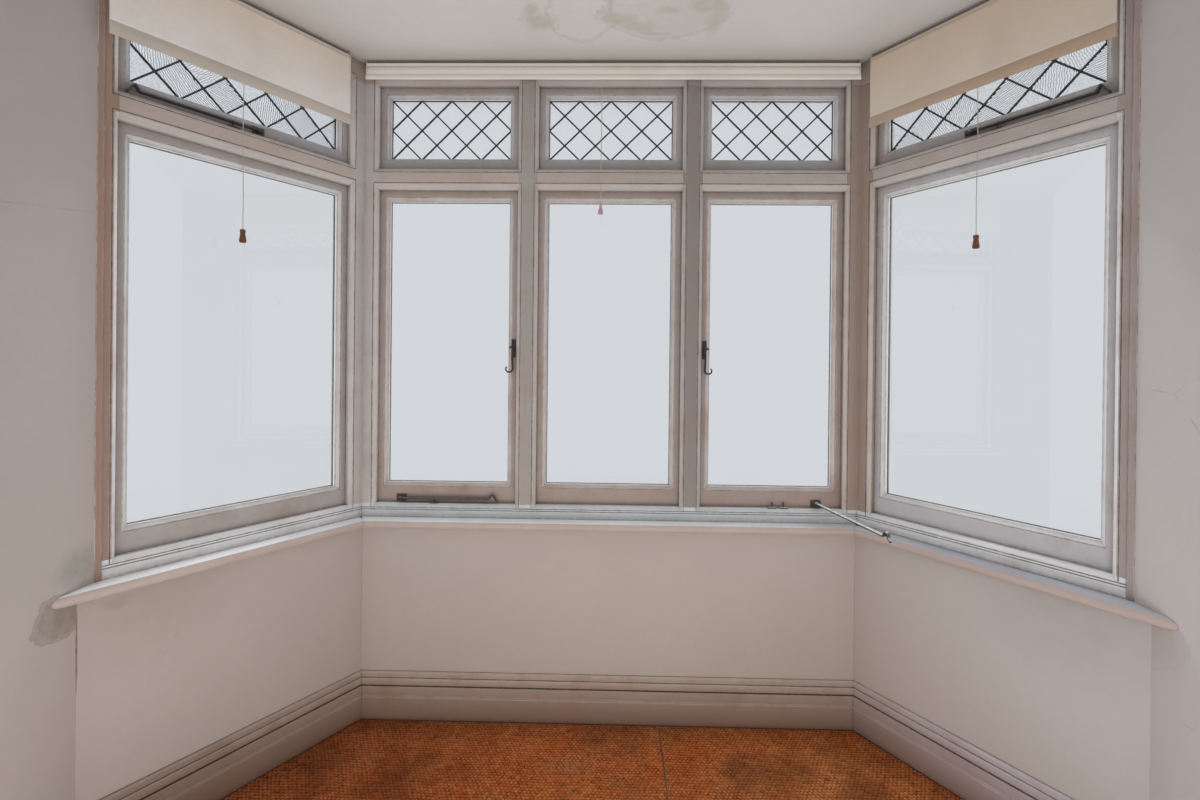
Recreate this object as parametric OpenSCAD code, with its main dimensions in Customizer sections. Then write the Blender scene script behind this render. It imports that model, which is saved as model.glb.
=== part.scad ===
// Canted timber bay window: three lights in front and one on each canted side,
// each with a leaded top light, on a plastered masonry apron, between the ends
// of the house wall. X runs along the wall, Y points outdoors, Z is up.

/* [Room] */
// Height of the inner floor above the ground outside
floor_z = 150; // [60:10:400]
// Height from the inner floor to the ceiling
ceiling_h = 2400; // [2250:10:2700]
// Thickness of the floor covering
carpet_t = 8; // [4:1:14]

/* [Bay plan] */
// Inner width of the front apron wall
front_w = 1792; // [1500:1:2400]
// Angle between a canted side and the front
side_angle = 58; // [45:1:65]
// Length of a canted side on the inner face of its frame
side_len = 771; // [600:1:1000]
// Distance of the frame's inner face behind the apron's inner face
frame_set = 30; // [20:1:60]

/* [Masonry] */
// Thickness of the apron walls
wall_t = 250; // [200:5:330]
// Thickness of the house wall at both ends of the bay
house_t = 300; // [240:5:400]
// Width of the house wall that is kept at each end
pier_w = 380; // [370:5:600]
// Height of the rendered plinth above the ground
plinth_h = 200; // [100:10:300]
// Projection of the rendered plinth
plinth_out = 20; // [10:1:30]
// Height of the lintel over the mouth of the bay
lintel_h = 290; // [220:10:400]
// Thickness of the ceiling plaster and its laths
ceiling_t = 20; // [12:1:30]

/* [Levels] */
// Height of the window board's top above the inner floor
board_top = 720; // [600:5:900]
// Height of the frame's sill above the window board
sill_h = 50; // [45:1:80]
// Height of the frame's head, hung below the ceiling
head_h = 78; // [60:1:120]
// Height of a top light's opening, below the head
top_light_h = 308; // [260:1:400]
// Height of a transom, below the top lights
transom_h = 77; // [60:1:110]

/* [Frame] */
// Depth of the frame timbers from room to outdoors
frame_t = 90; // [75:1:120]
// Width of a mullion
mullion_w = 76; // [60:1:100]
// Distance between the centres of the two mullions
mullion_gap = 608; // [500:1:800]
// Width that a corner post shows on each of its two faces
post_w = 50; // [45:1:80]
// Width of the end jambs
jamb_w = 40; // [30:1:60]
// Splay on the room edges of each opening
splay = 11; // [4:1:14]
// Height of the deeper splay under the transoms and the head
top_splay = 19; // [6:1:22]
// Width of the flat fillet between a splay and its quirk
fillet_w = 2.5; // [1:0.5:4]
// Depth of the stop that the sashes close against
stop_t = 28; // [20:1:36]
// Depth of the rebate behind the stop
rebate = 12; // [8:1:16]
// Length that the frame's sill reaches outdoors beyond the timbers
sill_nose = 40; // [20:1:60]
// Depth and width of the quirks round each opening and along the frame's sill
quirk = 2.5; // [1:0.5:4]
// Width and thickness of the strips that cover the joint between the jambs and the wall
scribe_w = 9; // [6:0.5:14]
scribe_t = 5; // [3:0.5:8]
// Clearance between two timbers that meet at a mitre
mitre_gap = 0.3; // [0.1:0.1:1]

/* [Sashes] */
// Thickness of the sashes
sash_t = 45; // [38:1:50]
// Width of the stiles
stile_w = 44; // [40:1:60]
// Width of the top rails
top_rail_w = 48; // [40:1:60]
// Width of the bottom rails of the lower lights
bottom_rail_w = 82; // [60:1:100]
// Width of the bottom rails of the top lights
top_light_rail_w = 56; // [45:1:70]
// Clearance between a sash and the sides of its rebate
sash_gap = 2; // [1:0.5:3]
// Splay of the moulding on the room edges of a sash, around its glass
sash_splay = 8; // [4:1:9]
// Depth of the step between a sash's face and its moulding
sash_step = 2.5; // [1:0.5:4]
// Width of the flats on both sides of that splay
sash_fillet = 3; // [1:0.5:4]
// Depth of a sash in front of its glass
glass_set = 22; // [16:1:26]
// Thickness of the glass
glass_t = 4; // [3:1:6]
// Depth that the glass reaches into the sash
glass_bite = 6; // [4:1:8]

/* [Leaded lights] */
// Width of a lead came
came_w = 6; // [4:0.5:9]
// Thickness of a came on each face of the glass
came_t = 2.5; // [1.5:0.5:4]
// Number of diamonds across a front top light
front_diamonds = 4; // [3:1:6]
// Number of diamonds across a side top light
side_diamonds = 5; // [4:1:8]
// Number of diamonds in the height of a top light
diamond_rows = 2; // [2:1:3]

/* [Boards and skirting] */
// Thickness of the window board
board_t = 28; // [24:1:35]
// Projection of the window board's nose
board_nose = 35; // [20:1:50]
// Height of the skirting
skirting_h = 164; // [120:1:200]
// Thickness of the skirting
skirting_t = 20; // [14:1:25]
// Projection of the outer sill beyond the apron's outer face
outer_sill_nose = 42; // [30:1:60]

/* [Roof] */
// Overhang of the eaves beyond the apron's outer face
eaves_out = 45; // [30:1:80]
// Depth of the roof joists and boards
deck_h = 130; // [100:5:200]
// Thickness of the fascia board
fascia_t = 25; // [18:1:32]
// Fall of the lead roof from the house to the eaves
roof_fall = 40; // [20:5:90]
// Thickness of the lead sheet, as dressed with its underlay
lead_t = 8; // [5:1:12]
// Diameter of the wood-cored rolls between the lead bays
roll_d = 45; // [35:1:55]
// Number of lead rolls
roll_count = 4; // [2:1:6]
// Height of the lead flashing on the house wall
flashing_h = 130; // [100:5:150]

/* [Iron fittings] */
// Height of the casement fasteners above the frame's sill
fastener_z = 580; // [450:5:800]
// Height of a fastener's back plate
plate_h = 67; // [50:1:80]
// Length of a fastener's lever, from its pivot to the curl
lever_len = 76; // [50:1:90]
// Distance of a casement stay's pivot from the hinged side of the opening
stay_set = 90; // [60:1:120]
// Distance of a casement stay's curled end from the other side of the opening
stay_end = 69; // [30:1:90]
// Distance of a top light's stay from the middle of its rail
top_stay_set = 25; // [0:1:60]
// Distance of a top light stay's curled end from the side of the opening
top_stay_end = 20; // [12:1:60]
// Width of a stay's bar
bar_w = 12; // [9:1:16]
// Thickness of a stay's bar
bar_t = 5; // [3:0.5:7]
// Height of a stay's bar above the timber below it
bar_z = 14; // [10:1:20]
// Angle by which the right casement's stay is swung into the room
stay_swing = 73; // [0:1:80]
// Angle by which that stay droops on its loose pin
stay_droop = 3.5; // [0:0.5:5]

/* [Blinds] */
// Diameter of the rolled cloth
blind_roll_d = 36; // [30:1:55]
// Gap between a roll and the ceiling
blind_gap = 11; // [4:1:20]
// Thickness of the blind cloth
cloth_t = 1.2; // [0.8:0.1:2]
// Height of the hem bar at the foot of the front blind
front_hem_h = 18; // [14:1:40]
// Height of the hem bar at the foot of a side blind
side_hem_h = 36; // [16:1:40]
// Thickness of the hem bar
hem_t = 9; // [6:1:12]
// Length of cloth that hangs below the roll of the front blind
front_drop = 13; // [4:1:400]
// Length of cloth that hangs below the roll of each side blind
side_drop = 182; // [60:1:600]
// Distance of the left blind's near end from the corner of the frame
left_blind_end = 86; // [40:1:86]
// Distance of the right blind's near end from the corner of the frame
right_blind_end = 62; // [40:1:86]
// Length by which a side blind is shorter than its side
blind_short = 91; // [91:1:160]
// Distance of the front cord from the middle of the bay
front_cord_set = 34; // [-60:1:60]
// Distance of a side cord from the middle of its blind
side_cord_set = 15; // [-60:1:60]
// Diameter of the pull cords
cord_d = 2.4; // [2:0.1:3]
// Length of a cord's turned pull
pull_h = 41; // [24:1:48]
// Diameter of a pull at its foot
pull_d = 20; // [14:1:26]

/* [Hidden] */

plaster = [0.72, 0.67, 0.63];
render_grey = [0.66, 0.64, 0.60];
timber_white = [0.80, 0.76, 0.74];
iron = [0.10, 0.10, 0.11];
cream = [0.85, 0.82, 0.76];
lead_grey = [0.35, 0.36, 0.38];
stone = [0.60, 0.57, 0.52];

half = front_w / 2;
mitre = tan(side_angle / 2);
face = frame_set;
back = frame_set + frame_t;
mouth_x = half + face * mitre + side_len * cos(side_angle);
mouth_y = face - side_len * sin(side_angle);
room_y = mouth_y - house_t;
outer = wall_t;
eaves = wall_t + eaves_out;
bay_y = -(eaves + room_y) / 2;
board_z = floor_z + board_top;
apron_z = board_z - board_t;
sill_z = board_z + sill_h;
ceiling_z = floor_z + ceiling_h;
head_z = ceiling_z - head_h;
transom_z1 = head_z - top_light_h;
transom_z0 = transom_z1 - transom_h;
deck_z = ceiling_z + ceiling_t;
roof_z = deck_z + deck_h;
sash_y = face + stop_t;
glass_y = sash_y + glass_set;

// Half width of the front at a distance d outside the apron's inner face
function corner(d) = half + d * mitre;
// Place along a canted side, from its corner, where it meets the house wall's outer face
function house_end(d) = (d * cos(side_angle) - mouth_y) / sin(side_angle);
// The y at which a canted side, at a distance d outside the apron's face, crosses x
function side_line_y(d, x) = d - (x - corner(d)) * tan(side_angle);
// Place along a canted side where it meets the return of the house wall
function return_end(d) = (mouth_x - half - d * sin(side_angle)) / cos(side_angle);

// Point of the right side, x along it from the corner and d outside the apron's inner face
function side_point(x, d) = [half + x * cos(side_angle) + d * sin(side_angle),
                             d * cos(side_angle) - x * sin(side_angle)];

// Local axes of a canted side: x along it from the corner, y outdoors
module on_right() { translate([half, 0, 0]) rotate([0, 0, -side_angle]) children(); }
module on_left() { mirror([1, 0, 0]) on_right() children(); }
module on_both() { on_right() children(); on_left() children(); }
module in_bay() { translate([0, bay_y, 0]) children(); }

// A section of points [y, z], carried along x
module along_x(x0, x1, section) {
    translate([x0, 0, 0]) rotate([90, 0, 90]) linear_extrude(x1 - x0) polygon(section);
}
// Plan of the front between two distances, with mitred ends
module front_plan(d0, d1, gap = 0) {
    polygon([[-corner(d0) + gap, d0], [corner(d0) - gap, d0], [corner(d1) - gap, d1],
             [-corner(d1) + gap, d1]]);
}
// Plan of a side from its mitre to the outer face of the house wall
module side_plan(d0, d1, gap = 0) {
    polygon([[-d0 * mitre + gap, d0], [house_end(d0), d0], [house_end(d1), d1],
             [-d1 * mitre + gap, d1]]);
}
// A moulding along the front, cut by the mitres of its corners
module front_run(section, d0, d1, gap = mitre_gap) {
    intersection() {
        along_x(-corner(d1), corner(d1), section);
        linear_extrude(roof_z * 2) front_plan(d0, d1, gap);
    }
}
// A moulding along a side, cut by its mitre and by the face of the house wall
module side_run(section, d0, d1, gap = mitre_gap) {
    intersection() {
        along_x(-d1 * mitre, house_end(d1), section);
        linear_extrude(roof_z * 2) side_plan(d0, d1, gap);
    }
}
module three_runs(section, d0, d1) {
    front_run(section, d0, d1);
    on_both() side_run(section, d0, d1);
}
function box_section(d0, d1, z0, z1) = [[d0, z0], [d1, z0], [d1, z1], [d0, z1]];

// Masonry
function wall_section() = [[0, 0], [outer + plinth_out, 0], [outer + plinth_out, plinth_h],
    [outer, plinth_h + plinth_out], [outer, apron_z], [0, apron_z]];
module front_wall() {
    color(plaster) in_bay() front_run(wall_section(), 0, outer + plinth_out);
}
// A side apron closes against the pier's return and against the house wall's outer face
module side_wall() {
    d1 = outer + plinth_out;
    intersection() {
        along_x(-d1 * mitre, house_end(d1) + return_end(0), wall_section());
        linear_extrude(board_z)
            polygon([[mitre_gap, 0], [return_end(0), 0], [house_end(face), face],
                     [house_end(d1), d1], [mitre_gap - d1 * mitre, d1]]);
    }
}
module left_wall() { color(plaster) in_bay() on_left() side_wall(); }
module right_wall() { color(plaster) in_bay() on_right() side_wall(); }
module pier() {
    translate([mouth_x, room_y, 0]) cube([pier_w, house_t, deck_z]);
}
module left_pier() { color(plaster) in_bay() mirror([1, 0, 0]) pier(); }
module right_pier() { color(plaster) in_bay() pier(); }
module lintel() {
    color(plaster) in_bay() translate([-mouth_x - pier_w, room_y, deck_z])
        cube([2 * (mouth_x + pier_w), house_t, lintel_h]);
}

// Inside of the bay in plan, with all its walls moved inwards by t
module inner_plan(t) {
    x = mouth_x - t;
    y = side_line_y(-t, x);
    polygon([[-x, room_y], [x, room_y], [x, y], [corner(-t), -t], [-corner(-t), -t], [-x, y]]);
}
module bay_floor() { color(stone) in_bay() linear_extrude(floor_z - carpet_t) inner_plan(0); }
module carpet() {
    color([0.62, 0.26, 0.12]) in_bay() translate([0, 0, floor_z - carpet_t])
        linear_extrude(carpet_t) inner_plan(skirting_t);
}
module ceiling() {
    color(plaster) in_bay() translate([0, 0, ceiling_z]) linear_extrude(ceiling_t)
        polygon([[-mouth_x, room_y], [mouth_x, room_y], [mouth_x, mouth_y],
                 [half_at(back, mouth_y), mouth_y], [corner(back), back], [-corner(back), back],
                 [-half_at(back, mouth_y), mouth_y], [-mouth_x, mouth_y]]);
}
// Half width of the bay at a distance d outside its apron, where it crosses the line y
function half_at(d, y) = corner(d) + (d - y) / tan(side_angle);

// Roof
module soffits() {
    color(timber_white) in_bay()
        three_runs(box_section(back, eaves - fascia_t, ceiling_z, deck_z), back, eaves - fascia_t);
}
module roof_plan(d) {
    polygon([[-half_at(d, mouth_y), mouth_y], [half_at(d, mouth_y), mouth_y], [corner(d), d],
             [-corner(d), d]]);
}
module roof_deck() {
    color(timber_white) in_bay() translate([0, 0, deck_z]) linear_extrude(deck_h)
        roof_plan(eaves - fascia_t);
}
// The fascia laps over the soffit's edge and thickens above a splayed step
fascia_lap = 12;
fascia_step_z = 40;
fascia_step_h = 15;
fascia_thin = 0.6;
function fascia_section() = let (d = eaves - fascia_t, m = d + fascia_t * fascia_thin,
        z0 = ceiling_z - fascia_lap, z1 = z0 + fascia_step_z)
    [[d, z0], [m, z0], [m, z1], [eaves, z1 + fascia_step_h], [eaves, roof_z], [d, roof_z]];
module fascias() { color(timber_white) in_bay() three_runs(fascia_section(), eaves - fascia_t, eaves); }
// The lead falls from the house to the eaves, and its rolls run down the fall
module lead_roof() {
    d = eaves;
    low = roof_z;
    high = roof_z + roof_fall;
    xh = half_at(d, mouth_y);
    plan = [[-xh, mouth_y], [xh, mouth_y], [corner(d), d], [-corner(d), d]];
    z_low = [low, low, low, low];
    z_high = [high + lead_t, high + lead_t, low + lead_t, low + lead_t];
    slope = atan(roof_fall / (d - mouth_y));
    color(lead_grey) in_bay() union() {
        polyhedron(concat([for (i = [0:3]) [plan[i][0], plan[i][1], z_low[i]]],
                          [for (i = [0:3]) [plan[i][0], plan[i][1], z_high[i]]]),
                   [[0, 1, 2, 3], [7, 6, 5, 4], [0, 4, 5, 1], [1, 5, 6, 2], [2, 6, 7, 3],
                    [3, 7, 4, 0]]);
        for (i = [1:roll_count])
            intersection() {
                translate([roll_x(i), d, low + lead_t]) rotate([90 - slope, 0, 0])
                    cylinder(d = roll_d, h = 2 * (d - mouth_y), center = true, $fn = 24);
                translate([0, 0, low]) linear_extrude(roof_fall + lead_t + roll_d) roof_plan(d);
            }
    }
}
function roll_x(i) = -corner(eaves) + (2 * corner(eaves)) * (i - 0.5) / roll_count;
module lead_flashing() {
    high = roof_z + roof_fall + lead_t;
    x = half_at(eaves, mouth_y);
    color(lead_grey) in_bay() difference() {
        translate([-x, mouth_y, high]) cube([2 * x, lead_t, flashing_h - lead_t]);
        for (i = [1:roll_count])
            translate([roll_x(i) - roll_d / 2 - 1, mouth_y - 1, high - 1])
                cube([roll_d + 2, lead_t + 2, roll_d / 2 + 2]);
    }
}

// Sills and boards
// The frame's sill falls outdoors behind its rebate, and its nose hangs over the outer sill
sill_fall = 11;
sill_nose_h = 16;
sill_throat = 12;
sill_back_z = sill_z - rebate - 3;
sill_under_z = sill_back_z - sill_fall - sill_nose_h;
drip_w = 10;
drip_h = 7;
outer_sill_fall = 16;
function outer_sill_section() = let (d = back + sill_nose - sill_throat, n = outer + outer_sill_nose)
    [[d, apron_z], [n - 3 * drip_w, apron_z], [n - 3 * drip_w, apron_z + drip_h],
     [n - 2 * drip_w, apron_z + drip_h], [n - 2 * drip_w, apron_z], [n, apron_z],
     [n, sill_under_z - outer_sill_fall], [d, sill_under_z]];
module outer_sills() {
    color(stone) in_bay() three_runs(outer_sill_section(), back, outer + outer_sill_nose);
}
function sill_quirk(z) = [[face, z], [face + quirk, z], [face + quirk, z - quirk], [face, z - quirk]];
function frame_sill_section() = let (d = back + sill_nose)
    concat([[face, apron_z], [d - sill_throat, apron_z], [d - sill_throat, sill_under_z],
            [d, sill_under_z], [d, sill_back_z - sill_fall], [back, sill_back_z], [back, sill_z],
            [face, sill_z]],
           sill_quirk(sill_z - splay - fillet_w), sill_quirk(sill_z - splay - fillet_w - 3 * quirk));
function board_section() = let (r = board_t / 2)
    concat([[face, board_z], [face, apron_z]],
           [for (a = [0:15:180]) [-board_nose + r - r * sin(a), apron_z + r - r * cos(a)]]);
module window_boards() {
    color(timber_white) in_bay() {
        front_run(board_section(), -board_nose, face);
        on_both() intersection() {
            along_x(0, return_end(-board_nose), board_section());
            linear_extrude(board_z * 2)
                polygon([[board_nose * mitre + mitre_gap, -board_nose],
                         [return_end(-board_nose), -board_nose], [return_end(face), face],
                         [-face * mitre + mitre_gap, face]]);
        }
    }
}
// A plain foot with a sloping ledge, a set-back band, a torus between two quirks, and a thin top
skirting_foot = 83;
skirting_band = 33;
torus_h = 26;
torus_out = 3;
ledge = 5;
top_set = 1;
function skirting_section() = let (z = floor_z - carpet_t, h = skirting_h + carpet_t, t = -skirting_t,
        z1 = z + skirting_foot, z2 = z1 + ledge + skirting_band, z3 = z2 + quirk + torus_h)
    concat([[0, z], [t, z], [t, z1], [t + ledge, z1 + ledge], [t + ledge, z2],
            [t + 2 * ledge + quirk, z2], [t + 2 * ledge + quirk, z2 + quirk]],
           [for (a = [0:30:180]) [t + 2 * ledge - torus_out * sin(a), z2 + quirk + torus_h * (1 - cos(a)) / 2]],
           [[t + 2 * ledge + quirk, z3], [t + 2 * ledge + quirk, z3 + quirk],
            [t + 2 * ledge + top_set, z3 + quirk], [t + 2 * ledge + top_set, z + h - ledge],
            [t + 3 * ledge, z + h], [0, z + h]]);
module skirtings() {
    color(timber_white) in_bay() {
        front_run(skirting_section(), -skirting_t, 0);
        on_both() intersection() {
            along_x(0, return_end(-skirting_t), skirting_section());
            linear_extrude(board_z)
                polygon([[skirting_t * mitre + mitre_gap, -skirting_t],
                         [return_inner(skirting_t) - mitre_gap, -skirting_t],
                         [return_end(0) - mitre_gap, 0], [mitre_gap, 0]]);
        }
        return_skirting();
        mirror([1, 0, 0]) return_skirting();
    }
}
// Place along a side where its face and the return's face, both t in front, meet
function return_inner(t) = (mouth_x - t - half + t * sin(side_angle)) / cos(side_angle);
module return_skirting() {
    inner_y = side_line_y(-skirting_t, mouth_x - skirting_t);
    outer_y = side_line_y(0, mouth_x);
    intersection() {
        translate([mouth_x, room_y, 0]) rotate([90, 0, 180]) linear_extrude(outer_y - room_y)
            polygon([for (p = skirting_section()) [-p[0], p[1]]]);
        linear_extrude(board_z)
            polygon([[mouth_x - skirting_t, room_y], [mouth_x, room_y], [mouth_x, outer_y],
                     [mouth_x - skirting_t, inner_y]]);
    }
}
// Frame
front_x = [[-(corner(face) - post_w), -(mullion_gap + mullion_w) / 2],
           [-(mullion_gap - mullion_w) / 2, (mullion_gap - mullion_w) / 2],
           [(mullion_gap + mullion_w) / 2, corner(face) - post_w]];
side_start = -face * mitre;
side_x = [side_start + post_w, side_start + side_len - jamb_w];
levels = [[sill_z, transom_z0], [transom_z1, head_z]];

// The hole of one light: splayed room edges, the stop, and the rebate behind it
module light_hole(x, z) {
    translate([x[0], face - 1, z[0]]) cube([x[1] - x[0], frame_t + 2, z[1] - z[0]]);
    translate([x[0] - rebate, sash_y, z[0] - rebate])
        cube([x[1] - x[0] + 2 * rebate, frame_t, z[1] - z[0] + 2 * rebate]);
    splayed_hole(x, z, face, splay, top_splay);
    quirk_ring(x, z);
}
// A tapered hole of depth s that opens towards the room, by s at its sides and foot and by t at
// its top
module splayed_hole(x, z, y, s, t) {
    o = s + 1;
    ot = t * (s + 1) / s;
    intersection() {
        translate([0, 0, z[0] - o]) linear_extrude(z[1] - z[0] + o + ot)
            polygon([[x[0] - o, y - 1], [x[1] + o, y - 1], [x[1], y + s], [x[0], y + s]]);
        along_x(x[0] - o, x[1] + o, [[y - 1, z[0] - o], [y + s, z[0]], [y + s, z[1]],
                                     [y - 1, z[1] + ot]]);
    }
}
// The quirk round an opening, outside its splay and fillet
module quirk_ring(x, z) {
    b = splay + fillet_w;
    t = top_splay + fillet_w;
    difference() {
        translate([x[0] - b - quirk, face - 1, z[0] - b - quirk])
            cube([x[1] - x[0] + 2 * (b + quirk), quirk + 1, z[1] - z[0] + b + t + 2 * quirk]);
        translate([x[0] - b, face - 2, z[0] - b])
            cube([x[1] - x[0] + 2 * b, quirk + 3, z[1] - z[0] + b + t]);
    }
}
module front_holes(rows = [0, 1]) { for (x = front_x, r = rows) light_hole(x, levels[r]); }
module side_holes(rows = [0, 1]) { for (r = rows) light_hole(side_x, levels[r]); }

module frame_sills() {
    color(timber_white) in_bay() {
        difference() {
            front_run(frame_sill_section(), face, back + sill_nose);
            front_holes([0]);
        }
        on_both() difference() {
            side_run(frame_sill_section(), face, back + sill_nose);
            side_holes([0]);
        }
    }
}
module frame_heads() {
    section = box_section(face, back, head_z, ceiling_z);
    color(timber_white) in_bay() {
        difference() {
            front_run(section, face, back);
            front_holes([1]);
        }
        on_both() difference() {
            side_run(section, face, back);
            side_holes([1]);
        }
    }
}
// The post's plan wraps the corner with a leg on each side
module corner_post() {
    reach = corner(face) - post_w;
    difference() {
        translate([0, 0, sill_z]) linear_extrude(head_z - sill_z)
            polygon([[reach, face], [corner(face), face], side_point(side_x[0], face),
                     side_point(side_x[0], back), [corner(back), back], [reach, back]]);
        front_holes();
        on_right() side_holes();
    }
}
module right_corner_post() { color(timber_white) in_bay() corner_post(); }
module left_corner_post() { color(timber_white) in_bay() mirror([1, 0, 0]) corner_post(); }
module jambs() {
    color(timber_white) in_bay() on_both() {
        difference() {
            translate([0, 0, sill_z]) linear_extrude(head_z - sill_z) intersection() {
                side_plan(face, back);
                translate([side_x[1], face]) square([pier_w, frame_t]);
            }
            side_holes();
        }
        scribe_strip();
    }
}
// A strip with a rounded edge that covers the joint between the frame and the wall
module scribe_strip() {
    edge = side_start + side_len - scribe_w;
    room = face - scribe_t;
    translate([0, 0, board_z]) linear_extrude(head_z - board_z)
        polygon(concat([[return_end(face), face], [return_end(room), room]],
                       [for (a = [90:-30:0]) [edge + scribe_t * (1 - cos(a)), face - scribe_t * sin(a)]]));
}
module mullions() {
    color(timber_white) in_bay() for (s = [-1, 1]) difference() {
        translate([s * mullion_gap / 2 - mullion_w / 2, face, sill_z])
            cube([mullion_w, frame_t, head_z - sill_z]);
        front_holes();
    }
}
module transom(x) {
    difference() {
        translate([x[0], face, transom_z0]) cube([x[1] - x[0], frame_t, transom_z1 - transom_z0]);
        for (r = [0, 1]) light_hole(x, levels[r]);
    }
}
module front_transoms() { color(timber_white) in_bay() for (x = front_x) transom(x); }
module side_transoms() { color(timber_white) in_bay() on_both() transom(side_x); }

// Sashes
module sash(x, z, foot) {
    o = rebate - sash_gap;
    x0 = x[0] - o;
    z0 = z[0] - o;
    w = x[1] - x[0] + 2 * o;
    h = z[1] - z[0] + 2 * o;
    sx = [x0 + stile_w, x0 + w - stile_w];
    sz = [z0 + foot, z0 + h - top_rail_w];
    difference() {
        translate([x0, sash_y, z0]) cube([w, sash_t, h]);
        translate([sx[0], sash_y - 1, sz[0]]) cube([sx[1] - sx[0], sash_t + 2, sz[1] - sz[0]]);
        translate([sx[0] - glass_bite, glass_y, sz[0] - glass_bite])
            cube([sx[1] - sx[0] + 2 * glass_bite, sash_t, sz[1] - sz[0] + 2 * glass_bite]);
        sash_moulding(sx, sz);
    }
}
// The moulding round the glass: a step, a flat, a splay and a second flat
module sash_moulding(sx, sz) {
    o = sash_fillet;
    wide = 2 * sash_fillet + sash_splay;
    translate([sx[0] - wide, sash_y - 1, sz[0] - wide])
        cube([sx[1] - sx[0] + 2 * wide, sash_step + 1, sz[1] - sz[0] + 2 * wide]);
    splayed_hole([sx[0] - o, sx[1] + o], [sz[0] - o, sz[1] + o], sash_y + sash_step, sash_splay,
                 sash_splay);
    translate([sx[0] - o, sash_y, sz[0] - o])
        cube([sx[1] - sx[0] + 2 * o, sash_step + sash_splay, sz[1] - sz[0] + 2 * o]);
}
// Sight sizes of a sash, which its glass and leads follow
function sight_x(x) = let (o = rebate - sash_gap) [x[0] - o + stile_w, x[1] + o - stile_w];
function sight_z(z, foot) = let (o = rebate - sash_gap) [z[0] - o + foot, z[1] + o - top_rail_w];
module lower_sash(x) { sash(x, levels[0], bottom_rail_w); }
module top_sash(x) { sash(x, levels[1], top_light_rail_w); }
module left_casement() { color(timber_white) in_bay() lower_sash(front_x[0]); }
module middle_light() { color(timber_white) in_bay() lower_sash(front_x[1]); }
module right_casement() { color(timber_white) in_bay() lower_sash(front_x[2]); }
module left_side_light() { color(timber_white) in_bay() on_left() lower_sash(side_x); }
module right_side_light() { color(timber_white) in_bay() on_right() lower_sash(side_x); }
module front_top_lights() { color(timber_white) in_bay() for (x = front_x) top_sash(x); }
module side_top_lights() { color(timber_white) in_bay() on_both() top_sash(side_x); }

module pane(x, z, foot) {
    sx = sight_x(x);
    sz = sight_z(z, foot);
    b = glass_bite - 0.5;
    translate([sx[0] - b, glass_y, sz[0] - b])
        cube([sx[1] - sx[0] + 2 * b, glass_t, sz[1] - sz[0] + 2 * b]);
}
module clear_glass() {
    color([0.8, 0.88, 0.9, 0.4]) in_bay() {
        for (x = front_x) pane(x, levels[0], bottom_rail_w);
        on_both() pane(side_x, levels[0], bottom_rail_w);
    }
}
module leaded_glass() {
    color([0.8, 0.88, 0.9, 0.5]) in_bay() {
        for (x = front_x) pane(x, levels[1], top_light_rail_w);
        on_both() pane(side_x, levels[1], top_light_rail_w);
    }
}
// The edge of a border came that shows, and two families of slanting cames, which cross at
// the corners of the sight size
border_w = 2;
module lattice(x, z, foot, columns) {
    sx = sight_x(x);
    sz = sight_z(z, foot);
    w = sx[1] - sx[0];
    h = sz[1] - sz[0];
    dx = w / columns;
    dz = h / diamond_rows;
    tilt = atan(dz / dx);
    reach = columns + diamond_rows;
    translate([sx[0], 0, sz[0]]) rotate([90, 0, 0]) mirror([0, 0, 1]) linear_extrude(came_t)
        union() {
            difference() {
                square([w, h]);
                translate([border_w, border_w]) square([w - 2 * border_w, h - 2 * border_w]);
            }
            intersection() {
                square([w, h]);
                for (s = [-1, 1], i = [0:reach])
                    translate([(s > 0 ? i - diamond_rows : i) * dx, 0])
                        rotate(s > 0 ? tilt : 180 - tilt) translate([-h, -came_w / 2])
                            square([3 * h + w, came_w]);
            }
        }
}
module leads() {
    color(lead_grey) in_bay() {
        for (x = front_x, y = [glass_y - came_t, glass_y + glass_t])
            translate([0, y, 0]) lattice(x, levels[1], top_light_rail_w, front_diamonds);
        for (y = [glass_y - came_t, glass_y + glass_t])
            on_both() translate([0, y, 0]) lattice(side_x, levels[1], top_light_rail_w, side_diamonds);
    }
}

// Iron fittings
plate_t = 3;
pivot_h = 12;
lever_w = 9;
lever_t = 6;
curl_r = 19;
pivot_d = 16;
// Back plate, round pivot, a nose beside it, and a lever that curls towards the glass
module fastener() {
    translate([-pivot_d / 2, -plate_t, -plate_h / 2]) cube([pivot_d, plate_t, plate_h]);
    rotate([90, 0, 0]) cylinder(d = pivot_d, h = pivot_h, $fn = 24);
    translate([0, -plate_t - lever_t, 0]) cube([pivot_d, lever_t, lever_w]);
    translate([0, -pivot_h, 0]) rotate([90, 0, 0]) linear_extrude(lever_t) lever_outline();
}
module lever_outline() {
    translate([-lever_w / 2, -lever_len]) square([lever_w, lever_len + pivot_d / 2]);
    translate([curl_r - lever_w / 2, -lever_len]) difference() {
        circle(r = curl_r, $fn = 48);
        circle(r = curl_r - lever_w * 0.8, $fn = 48);
        translate([-curl_r - 1, 0]) square([2 * curl_r + 2, curl_r + 1]);
        translate([curl_r * 0.3, -curl_r - 1]) square([curl_r, curl_r + 2]);
    }
}
module casement_fasteners() {
    o = rebate - sash_gap;
    color(iron) in_bay() {
        translate([front_x[0][1] + o - stile_w / 2, sash_y, sill_z + fastener_z])
            mirror([1, 0, 0]) fastener();
        translate([front_x[2][0] - o + stile_w / 2, sash_y, sill_z + fastener_z]) fastener();
    }
}
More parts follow.
